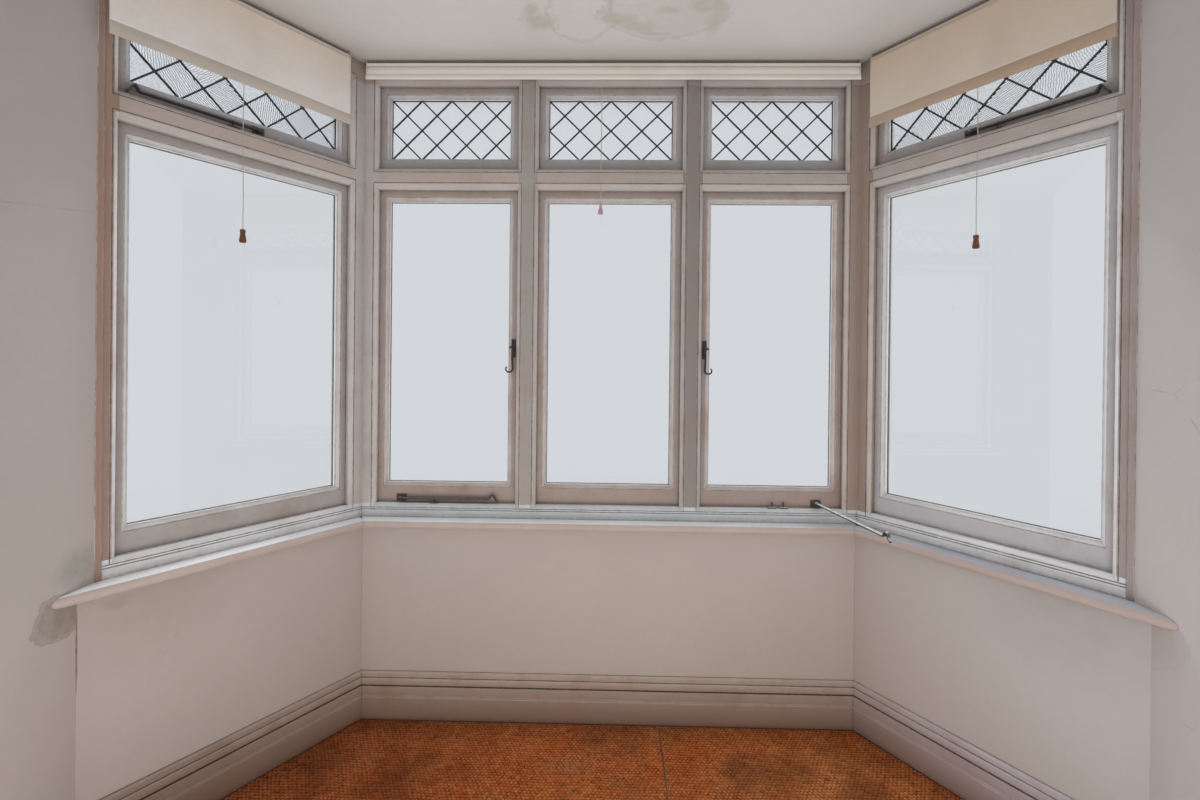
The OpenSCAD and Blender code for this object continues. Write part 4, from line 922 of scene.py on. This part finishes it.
def makeBlind(b):
    x0, x1 = b["x"]
    side = b["side"]
    finish = made[b["name"] + "Cloth"]
    hemFinish, rollFinish = (made[b["name"] + "Hem"], finish) if side else (finish, made["roll"])
    rollZ, rollY, radius = blind["rollZ"], blind["rollY"], blind["rollRadius"]
    hemZ = rollZ - radius - b["drop"]
    # The roll: its radius swells in slow waves along it, and its ends step inwards like wound cloth
    along = np.linspace(x0, x1, 60)[:, None]
    around = np.linspace(0, 2 * np.pi, 33)[:-1]
    swell = radius * (1 - 0.02 * (1 - np.cos(along * 9 + 2) * np.cos(around * 2)) / 2)
    ends = radius * np.array([0.35, 0.36, 0.55, 0.56, 0.76, 0.77, 0.97])[:, None]
    inset = np.array([0.0, 0.0012, 0.0012, 0.0004, 0.0004, 0.0010, 0.0010])[:, None]
    rings = [at(x, rollY + r * np.cos(around), rollZ + r * np.sin(around))
             for x, r in ((x0 + inset, ends), (along, swell), (x1 - inset[::-1], ends[::-1]))]
    roll = gridSurface(onSide(np.concatenate(rings), side), wrapV=True, capU=True)
    roll["quadUv"] = roll["quadUv"] * [x1 - x0, 2 * np.pi * radius]
    rollPiece = addPiece(b["name"] + "BlindRoll", outward(roll), rollFinish)
    # The cloth: a sheet from the roll's room side to the hem, with slow ripples that die out at the roll
    u, v = unitGrid(120, max(3, int(b["drop"] / 0.006)))
    x, z = x0 + (x1 - x0) * u, rollZ + (hemZ - rollZ) * v
    ripple = blind["wave"] * (np.sin(x * 7 + side) * 0.6 + np.sin(x * 19 + 2) * 0.25) * v * (b["drop"] > 0.05)
    size = (x1 - x0, rollZ - hemZ)
    sheet = gridSurface(onSide(at(x, blind["middleY"] + ripple, z), side), uv=at(u * size[0], v * size[1]))
    sheet = facing(sheet, onSide(np.array([0.0, -1.0, 0]), side) - onSide(np.zeros(3), side))
    clothPiece = addPiece(b["name"] + "BlindCloth", sheet, finish, [b["name"] + "_blind"])
    solid = clothPiece.modifiers.new("thickness", "SOLIDIFY")
    solid.thickness, solid.offset = blind["cloth"] * 0.6, 0
    # The hem pocket: a closed loop of cloth round a flat bar, nipped in above by its seam
    t, h = blind["hem"] / 2, b["hem"]
    half = np.array([(-0.12, 0), (-0.30, -0.06), (-0.75, -0.2), (-0.97, -0.45), (-0.95, -0.8), (-0.6, -0.96)])
    pocket = np.concatenate([half, [(0, -1)], half[::-1] * [-1, 1]])
    u = np.linspace(0, 1, 90)[:, None]
    wobble = 1 + 0.05 * np.sin(u * 31) * (h > 0.03)
    points = at(x0 + (x1 - x0) * u, blind["middleY"] + pocket[:, 0] * t * wobble, hemZ + pocket[:, 1] * h)
    hem = gridSurface(onSide(points, side), wrapV=True, capU=True)
    hem["quadUv"] = hem["quadUv"] * [x1 - x0, 2 * h]
    hemPiece = addPiece(b["name"] + "HemPocket", outward(hem), hemFinish)
    return rollPiece, hemPiece


def makeBrackets():
    # Folded ears at the ends of each roll, with the pin that carries it
    parts = []
    for b in blinds:
        for x, way in zip(b["x"], (-1, 1)):
            low, high = sorted((x + way * 0.0004, x + way * 0.003))
            ear = blockOf((low, blind["rollY"] - 0.010, blind["rollZ"] - 0.010),
                          (high, bay["face"] - 0.0003, bay["ceiling"] - 0.0005), 0.002)
            pin = turned([(0.003, -0.003), (0.0036, -0.002), (0.0036, 0.002), (0.003, 0.003)],
                         ((low + high) / 2, blind["rollY"], blind["rollZ"]), "x", 16)
            parts += [moved(ear, b["side"]), moved(pin, b["side"])]
    addPiece("blindBrackets", joined(parts), made["bracket"])


for b in blinds:
    makeCord(b)
rolls, hems = zip(*[makeBlind(b) for b in blinds])
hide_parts("blind_rolls")
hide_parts("blind_bars")
makeBrackets()
print("blinds hung")


# Carpet: two breadths of knotted sisal laid to the skirting

def knotHeight(x, y):
    # The knots' domes, in the same staggered rows as the weave's colours
    x, y = (x + carpet["wander"] * np.sin(31 * y + 4 * x), y + carpet["wander"] * np.sin(23 * x + 4 * y))
    v = y / carpet["pitchY"]
    row = np.floor(v)
    u = x / carpet["pitchX"] + 0.5 * np.mod(row, 2)
    reach = np.hypot(u - np.floor(u) - 0.5, v - row - 0.5)
    dome = np.clip((0.62 - reach) / 0.5, 0, 1)
    return dome * dome * (3 - 2 * dome)


def makeBreadth(name, x0, x1):
    # A level grid whose points past the skirting line are drawn back to it, with its rim let down
    edge = carpet["skirting"] + carpet["cut"]
    under = bay["floor"] - carpet["thickness"]
    xs = np.arange(x0, x1 + 1e-6, carpet["pitchX"] / 3)
    ys = np.arange(bay["roomY"] + 0.001, bay["y"] - edge + 1e-6, carpet["pitchY"] / 3)
    x, y = np.meshgrid(xs, ys, indexing="ij")
    limit = np.minimum(bay["mouthX"] - edge, bay["half"] - (edge - (bay["y"] - y) * cosA) / sinA)
    x = np.clip(x, -limit, limit)
    z = bay["floor"] - carpet["knot"] * 1.05 + carpet["knot"] * knotHeight(x, y)
    z += 0.0006 * (smoothNoise(x * 3, y * 3, 5) - 0.5)
    rim = (np.abs(x) >= limit - 1e-6) | (y <= ys[0]) | (y >= ys[-1])
    z = np.where(rim, under + 0.0005, np.minimum(z, bay["floor"] - 0.0001))
    surface = facing(gridSurface(at(x, y, z)), (0, 0, 1))
    area = 0.5 * np.abs(crossed(surface)[:, 2])
    keep = area > 1e-9
    surface["quads"], surface["quadUv"] = surface["quads"][keep], surface["quadUv"][keep]
    piece = addPiece(name, surface, made["carpet"], sharp=180)
    return piece


seam = carpet["pitchX"] * 15 - 0.0005
leftBreadth = makeBreadth("carpetLeftBreadth", -bay["mouthX"], seam)
makeBreadth("carpetRightBreadth", seam + 0.001, bay["mouthX"])
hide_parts("carpet")
print("carpet laid")


# Leaded lights

# Sizes of the cames and solder, and lozenges up each light and across a front and a side one
leaded = {
    "came": 0.0052, "proud": 0.0024, "border": 0.002, "solder": 0.0046,
    "rows": 2, "front": 4, "side": 5,
}
sash = {"overlap": 0.010, "stile": 0.044, "topRail": 0.048, "foot": 0.056, "deepFoot": 0.082, "bite": 0.006}
lights = [(0, opening, leaded["front"]) for opening in frontOpenings]
lights += [(side, sideOpening, leaded["side"]) for side in (-1, 1)]


def sight(opening, upper):
    # The glass that shows inside a sash
    low, high = (bay["transomHigh"], bay["head"]) if upper else (bay["sill"], bay["transomLow"])
    foot = sash["foot"] if upper else sash["deepFoot"]
    return (opening[0] - sash["overlap"] + sash["stile"], opening[1] + sash["overlap"] - sash["stile"],
            low - sash["overlap"] + foot, high + sash["overlap"] - sash["topRail"])


def lightCames(side, opening, columns):
    # Each slanting came runs between the points where its line meets the sight edges
    x0, x1, z0, z1 = sight(opening, True)
    rows = leaded["rows"]
    dx, dz = (x1 - x0) / columns, (z1 - z0) / rows
    arc = np.linspace(0, np.pi, 7)
    profile = at(leaded["came"] / 2 * np.cos(arc), leaded["proud"] * np.sin(arc) ** 0.7)
    profile = np.concatenate([profile, [(0, 0)]])
    inwards = ((0, 0, 1), (-1, 0, 0), (0, 0, -1), (1, 0, 0))
    parts = []
    for face, way in ((bay["glassFace"], -1), (bay["glassFace"] + bay["glassThick"], 1)):
        def lay(path, profile, across, shift=0):
            piece = carried(path, profile, across)
            piece["points"][:, 1] = face + way * np.abs(piece["points"][:, 1] - face)
            piece["points"] += shift
            parts.append(piece)
        for slope in (1, -1):
            for i in range(1, columns + rows):
                start = (i - rows) * dx if slope > 0 else i * dx
                ends = np.clip(sorted((-start / dx * slope, (x1 - x0 - start) / dx * slope)), 0, rows)
                t = np.linspace(ends[0], ends[1], 8)
                lay(at(x0 + start + slope * t * dx, face, z0 + t * dz), profile, (slope * -dz, 0, dx))
        rim = np.array([(x0, face, z0), (x1, face, z0), (x1, face, z1), (x0, face, z1)])
        for a, b, inward in zip(rim, np.roll(rim, -1, 0), inwards):
            lay(np.linspace(a, b, 4), profile * [0.35, 0.8], inward, np.array(inward) * leaded["border"] / 2)
        r = leaded["solder"]
        blob = [(r, 0), (r * 0.94, 0.0012), (r * 0.7, 0.0023), (r * 0.35, 0.0028), (0.0002, 0.0029)]
        for j in range(1, 2 * rows):
            for i in range(1 - j % 2, columns):
                dome = turned(blob, axis="y", count=12)
                dome["points"] = (dome["points"] * [1.15, way, 0.95]
                                  + [x0 + (i + 0.5 * (j % 2)) * dx, face, z0 + j * dz / 2])
                parts.append(dome)
    return moved(joined([outward(p) for p in parts]), side)


addPiece("leadCames", joined([lightCames(*light) for light in lights]), made["came"], ["leads"])


def quarrySlab(side, opening, columns):
    # One slab per light whose uv counts the lozenges, so that each can have its own pattern
    x0, x1, z0, z1 = sight(opening, True)
    b = sash["bite"] - 0.0006
    u, v = unitGrid(49, 25)
    x, z = x0 - b + (x1 - x0 + 2 * b) * u, z0 - b + (z1 - z0 + 2 * b) * v
    p, q = (x - x0) / (x1 - x0) * columns, (z - z0) / (z1 - z0) * leaded["rows"]
    uv = at(p + q + 7 * side, p - q + 3 * columns + opening[0])
    ripple = 0.00025 * np.sin(x * 190 + 3 * np.sin(z * 60)) * np.sin(z * 170 + 2 * np.sin(x * 50))
    front = at(x, bay["glassFace"] + 0.0003 + ripple, z)
    rear = at(x, bay["glassFace"] + bay["glassThick"] - 0.0003 + ripple, z)
    rim = lambda g: np.concatenate([g[:-1, 0], g[-1, :-1], g[:0:-1, -1], g[0, :0:-1]])
    edge = gridSurface(np.stack([rim(front), rim(rear)]), wrapV=True, uv=np.stack([rim(uv), rim(uv)]))
    return moved(joined([gridSurface(front, uv=uv), flipped(gridSurface(rear, uv=uv)), edge]), side)


addPiece("texturedQuarries", joined([quarrySlab(*light) for light in lights]), made["quarry"],
         ["leaded_glass"], sharp=60)


def puttyLoop(side, opening, upper):
    # A fillet of putty outside the glass: one bevelled section at each corner of the sight rectangle
    x0, x1, z0, z1 = sight(opening, upper)
    b = sash["bite"] - 0.0003
    y = bay["glassFace"] + bay["glassThick"] + 0.0002
    deep = bay["sashFace"] + bay["sashThick"] - y - 0.002
    s, d = np.array([(0.0, 0.0), (b + 0.003, 0.0), (b + 0.002, 0.0016), (0.0012, deep), (0.0, deep)]).T
    rings = [at(x + s * inX, y + d, z + s * inZ)
             for x, z, inX, inZ in ((x0 - b, z0 - b, 1, 1), (x1 + b, z0 - b, -1, 1),
                                    (x1 + b, z1 + b, -1, -1), (x0 - b, z1 + b, 1, -1))]
    return moved(gridSurface(np.stack(rings), wrapU=True, wrapV=True), side)


addPiece("puttyFillets", joined([puttyLoop(s, x, up) for s, x, _ in lights for up in (False, True)]),
         made["putty"], sharp=30)
print("leaded lights glazed")


# Iron fittings

fitting = {
    "fastenerZ": 1.500, "plateW": 0.016, "plateH": 0.067, "lever": 0.076, "curl": 0.0155, "curlTurn": 1.15,
    "stayY": 0.046,
    "barW": 0.016, "barT": 0.005, "barZ": 0.014, "set": 0.090, "end": 0.069, "topSet": 0.025,
    "topEnd": 0.020, "swing": 73.0, "droop": 3.5, "holes": 7, "hook": 0.026,
    "lift": 0.0003, "swungLift": 0.0008,                      # a bar's eye above its bracket
    "leftPeg": 3, "rightPegs": (-2.9, -3.9), "topPeg": 2,     # in steps of the holes
}


def screwHead(x, y, z, axis="y"):
    # A countersunk head with a shallow dome and a slot's worth of hollow in its middle
    head = turned([(0.0031, 0), (0.0031, 0.0004), (0.0026, 0.0009), (0.0010, 0.0011), (0.0009, 0.0005),
                   (0.0001, 0.0005)], axis=axis, count=14)
    head["points"] = head["points"] * ([1, -1, 1] if axis == "y" else [1, 1, 1]) + [x, y, z]
    return outward(head)


def knobAt(point, half):
    # A small rounded end, turned about y from half its profile
    return turned(half + [(r, -h) for r, h in half[1::-1]], point, "y", 14)


def fastener(x, way):
    # Plate, drum and nose, then a lever whose bar narrows down to a curl of somewhat over half a turn
    y, z = bay["sashFace"], fitting["fastenerZ"]
    half = fitting["plateH"] / 2
    plate = carried([(x, y - 0.0016, z - half), (x, y - 0.0016, z + half)],
                    roundedBar(0.003, fitting["plateW"], 0.0012), (0, 1, 0))
    drum = turned([(0.0078, 0.0), (0.0080, -0.004), (0.0076, -0.010), (0.0064, -0.0135), (0.0030, -0.0148),
                   (0.0002, -0.015)], (x, y - 0.003, z), "y", 24)
    nose = carried([(x, y - 0.006, z + 0.004), (x + way * 0.011, y - 0.006, z + 0.004),
                    (x + way * 0.0155, y - 0.0045, z + 0.003)],
                   roundedBar(0.006, 0.008, 0.002), (0, 1, 0), np.array([1, 1, 0.7]))
    t = np.linspace(0, 1, 12)
    straight = at(x + 0.0015 * way * np.sin(t * np.pi), y - 0.015 - 0.004 * np.sin(t * 3),
                  z + 0.006 - (fitting["lever"] + 0.006) * t)
    a = np.linspace(0, fitting["curlTurn"] * np.pi, 26)[1:]
    r = fitting["curl"] * (1 - 0.38 * a / a[-1])
    curl = at(x + way * (fitting["curl"] - r * np.cos(a)), straight[-1, 1] + 0.002 * a / a[-1],
              straight[-1, 2] - r * np.sin(a))
    path = np.concatenate([straight, curl])
    size = np.concatenate([np.linspace(1.0, 0.8, 12), np.linspace(0.8, 0.5, 25)])
    lever = carried(path, roundedBar(0.0055, 0.009, 0.0022), (0, 1, 0), size)
    tip = knobAt(path[-1], [(0.0002, -0.0032), (0.0024, -0.0026), (0.0034, 0)])
    return [plate, drum, nose, lever, tip] + [screwHead(x, y - 0.003, z + s * 0.026) for s in (-1, 1)]


leftStile = frontOpenings[0][1] + sash["overlap"] - sash["stile"] / 2 - 0.002
rightStile = frontOpenings[2][0] - sash["overlap"] + sash["stile"] / 2 + 0.002
fasteners = joined([moved(p, 0) for p in fastener(leftStile, -1) + fastener(rightStile, 1)])
addPiece("casementFasteners", fasteners, made["iron"], ["casement_fasteners"])


def stayBar(length):
    # The bar lies along x from its eye at the origin; near the end it sweeps up, over and down
    t, a = np.linspace(0, 1, 10), np.linspace(0, 1, 22)[1:]
    flat = at(0.006 + (length - 0.008) * t, 0, 0.0025)
    rise = at(length - 0.002 + (fitting["hook"] + 0.002) * a, 0,
              0.0025 + 0.0155 * np.sin(np.clip(a * 1.28, 0, 1) * np.pi) ** 1.4
              - 0.006 * np.clip(a - 0.78, 0, 1) / 0.22)
    path = np.concatenate([flat, rise])
    size = np.concatenate([np.ones(10), np.linspace(1.0, 0.72, 21)])
    bar = carried(path, roundedBar(fitting["barW"], fitting["barT"], 0.0014), (0, 1, 0), size)
    eye = turned([(0.0040, 0.0), (0.0086, 0.0), (0.0092, 0.0012), (0.0092, 0.0042), (0.0084, 0.0054),
                  (0.0042, 0.0054)])
    end = knobAt(path[-1] - [0, 0, 0.002], [(0.0002, -0.0045), (0.0030, -0.0038), (0.0042, 0)])
    bead = [(0.0022, 0.0052), (0.0044, 0.0052), (0.0042, 0.0058), (0.0031, 0.0060), (0.0022, 0.0056)]
    holes = [turned(bead, (i * length / (fitting["holes"] + 1), 0, 0), "z", 16)
             for i in range(1, fitting["holes"] + 1)]
    return joined([bar, eye, end] + holes)


def turnedBar(bar, swing, droop):
    # Droop about y, then swing about z, both at the eye
    s, d = np.radians([swing, droop])
    lower = np.array([[np.cos(d), 0, np.sin(d)], [0, 1, 0], [-np.sin(d), 0, np.cos(d)]])
    sweep = np.array([[np.cos(s), np.sin(s), 0], [-np.sin(s), np.cos(s), 0], [0, 0, 1]])
    return dict(bar, points=bar["points"] @ lower.T @ sweep.T)


def stayBracket(lift=0.0):
    # A plate on the frame, a tongue with its boss, and the pin that the bar's eye turns on
    reach = bay["sashFace"] - fitting["stayY"]
    z = fitting["barZ"]
    plate = blockOf((-0.018, reach - 0.003, 0.004), (0.018, reach, 0.030), 0.0012)
    tongue = blockOf((-0.0075, 0, z - 0.003), (0.0075, reach - 0.001, z), 0.001)
    boss = turned([(0.0078, z - 0.0032), (0.0082, z - 0.002), (0.0080, z)])
    top = z + fitting["barT"] + lift
    pin = turned([(0.0034, z - 0.002), (0.0034, top + 0.0008), (0.0060, top + 0.0008), (0.0062, top + 0.0018),
                  (0.0050, top + 0.0032), (0.0020, top + 0.0038), (0.0002, top + 0.0039)])
    return [plate, tongue, boss, pin] + [screwHead(x, reach - 0.003, 0.023) for x in (-0.013, 0.013)]


def stayPeg(x):
    # A peg turned on its plate, at x along the bar
    plate = blockOf((-0.016, -0.008, 0), (0.016, 0.008, 0.003), 0.001)
    top = fitting["barZ"] + fitting["barT"] + 0.004
    peg = turned([(0.0042, 0.003), (0.0030, 0.0045), (0.0026, 0.006), (0.0026, top - 0.002),
                  (0.0022, top - 0.0006), (0.0002, top)], count=16)
    return shifted([plate, peg] + [screwHead(s, 0, 0.003, "z") for s in (-0.011, 0.011)], x, 0, 0)


def makeStays():
    # Each stay: a bracket, its bar and the pegs it drops on; the right casement's is swung off its pegs
    f, hook = fitting, fitting["hook"]
    length = frontOpenings[0][1] - frontOpenings[0][0] - f["set"] - f["end"] - hook
    hole = length / (f["holes"] + 1)
    lifted = lambda bar, lift: shifted([bar], 0, 0, f["barZ"] + lift)
    left = stayBracket() + lifted(stayBar(length), f["lift"]) + stayPeg(f["leftPeg"] * hole)
    right = stayBracket(f["swungLift"])
    right += lifted(turnedBar(stayBar(length), f["swing"], f["droop"]), f["swungLift"])
    for peg in f["rightPegs"]:
        right += stayPeg(peg * hole)
    both = shifted(left, frontOpenings[0][0] + f["set"], f["stayY"], bay["sill"])
    both += shifted(right, frontOpenings[2][1] - f["set"], f["stayY"], bay["sill"])
    addPiece("casementStays", joined([moved(p, 0) for p in both]), made["stay"],
             ["casement_stays"])
    middle = sum(sideOpening) / 2 - f["topSet"]
    upper = sideOpening[1] - f["topEnd"] - hook - middle
    one = stayBracket() + lifted(stayBar(upper), f["lift"]) + stayPeg(f["topPeg"] * upper / (f["holes"] + 1))
    one = shifted(one, middle, f["stayY"], bay["transomHigh"])
    addPiece("topLightStays", joined([moved(p, s) for p in one for s in (-1, 1)]), made["stay"],
             ["top_light_stays"])


makeStays()
print("iron fittings fixed")


# Stage and light

stage = {"reach": 14.0, "below": -0.0005, "fadeFrom": 2.2, "fadeTo": 5.5, "colour": (0.70, 0.72, 0.74)}


def makeStage():
    # The floor fades into the backdrop with its distance from the bay, so no horizon shows
    mesh = bpy.data.meshes.new("stageFloor")
    r, z = stage["reach"], stage["below"]
    mesh.from_pydata([(-r, -r, z), (r, -r, z), (r, r, z), (-r, r, z)], [], [(0, 1, 2, 3)])
    t = Material("paleStage")
    reach = t.add("VectorMath", {0: t.place()}, "Value", operation="LENGTH")
    fade = reach.remap(stage["fadeFrom"], stage["fadeTo"]) * t.seenDirectly()
    t.feed(t.output, t.add("MixShader", {0: fade, 1: t.surface, 2: t.add("BsdfTransparent")}))
    mesh.materials.append(t.look(colour=stage["colour"], rough=0.9))
    floor = newObject("stageFloor", mesh)


lamps = [
    # name, place, aimed at, width, height, watts, colour
    ("roomLamp", (0.0, -4.2, 1.1), (0.0, 0.0, 1.9), 3.6, 1.6, 36, (1.0, 0.955, 0.91)),
    ("floorGlow", (0.0, -0.9, 0.25), (0.0, -0.1, 2.5), 2.0, 0.9, 13.5, (1.0, 0.96, 0.92)),
    ("skyLamp", (-1.2, 4.6, 4.9), (0.1, -0.1, 1.0), 3.4, 2.6, 80, (0.84, 0.92, 1)),
    ("sunLamp", (-0.50, 4.80, 5.04), (1.32, -0.40, 1.15), 0.35, 0.35, 110, (1.0, 0.985, 0.96)),
]
# Daylight that each pane sends into the room, so that the outside isn't burnt out by it
daylight = {"radiance": 1.2, "colour": (0.83, 0.915, 1.0), "off": 0.002}
sky = {
    "outdoors": (0.50, 0.56, 0.64), "room": (0.43, 0.385, 0.35),   # light from each side
    "shown": (0.67, 0.685, 0.72),
}


def addLamp(name, place, target, width, height, power, colour):
    data = bpy.data.lights.new(name, "AREA")
    data.shape = "RECTANGLE"
    data.size, data.size_y, data.energy, data.color = width, height, power, colour
    lamp = newObject(name, data)
    aim = Vector(place) - Vector(target)
    lamp.matrix_world = Matrix.Translation(place) @ aim.to_track_quat("Z", "Y").to_matrix().to_4x4()
    lamp.visible_camera = lamp.visible_glossy = lamp.visible_transmission = False


def makeLights():
    for lamp in lamps:
        addLamp(*lamp)
    for number, (side, opening, _) in enumerate(lights):
        for upper in (False, True):
            x0, x1, z0, z1 = sight(opening, upper)
            y = bay["glassFace"] - daylight["off"]
            place, target = onSide(at((x0 + x1) / 2, [y, y - 1], (z0 + z1) / 2), side)
            power = np.pi * (x1 - x0) * (z1 - z0) * daylight["radiance"]
            addLamp(f"paneLamp{number}{'High' if upper else 'Low'}", place, target, x1 - x0, z1 - z0,
                    power, daylight["colour"])
    world = bpy.data.worlds.new("plainSky")
    bpy.context.scene.world = world
    world.use_nodes = True
    t = Nodes(world.node_tree)
    t.tree.nodes.clear()
    north = t.xyz(t.add("TexCoord", out="Generated"))[1]
    tint = t.blend(north.remap(-0.5, 0.5), sky["room"], sky["outdoors"])
    light = t.add("Background", {"Color": tint, "Strength": 1.0})
    shown = t.add("Background", {"Color": sky["shown"], "Strength": 1.0})
    t.all("OutputWorld", {"Surface": t.add("MixShader", {0: t.seenDirectly(), 1: light, 2: shown})})
    bpy.context.scene.view_settings.view_transform = "Standard"


makeStage()
makeLights()
print("stage and lights set")
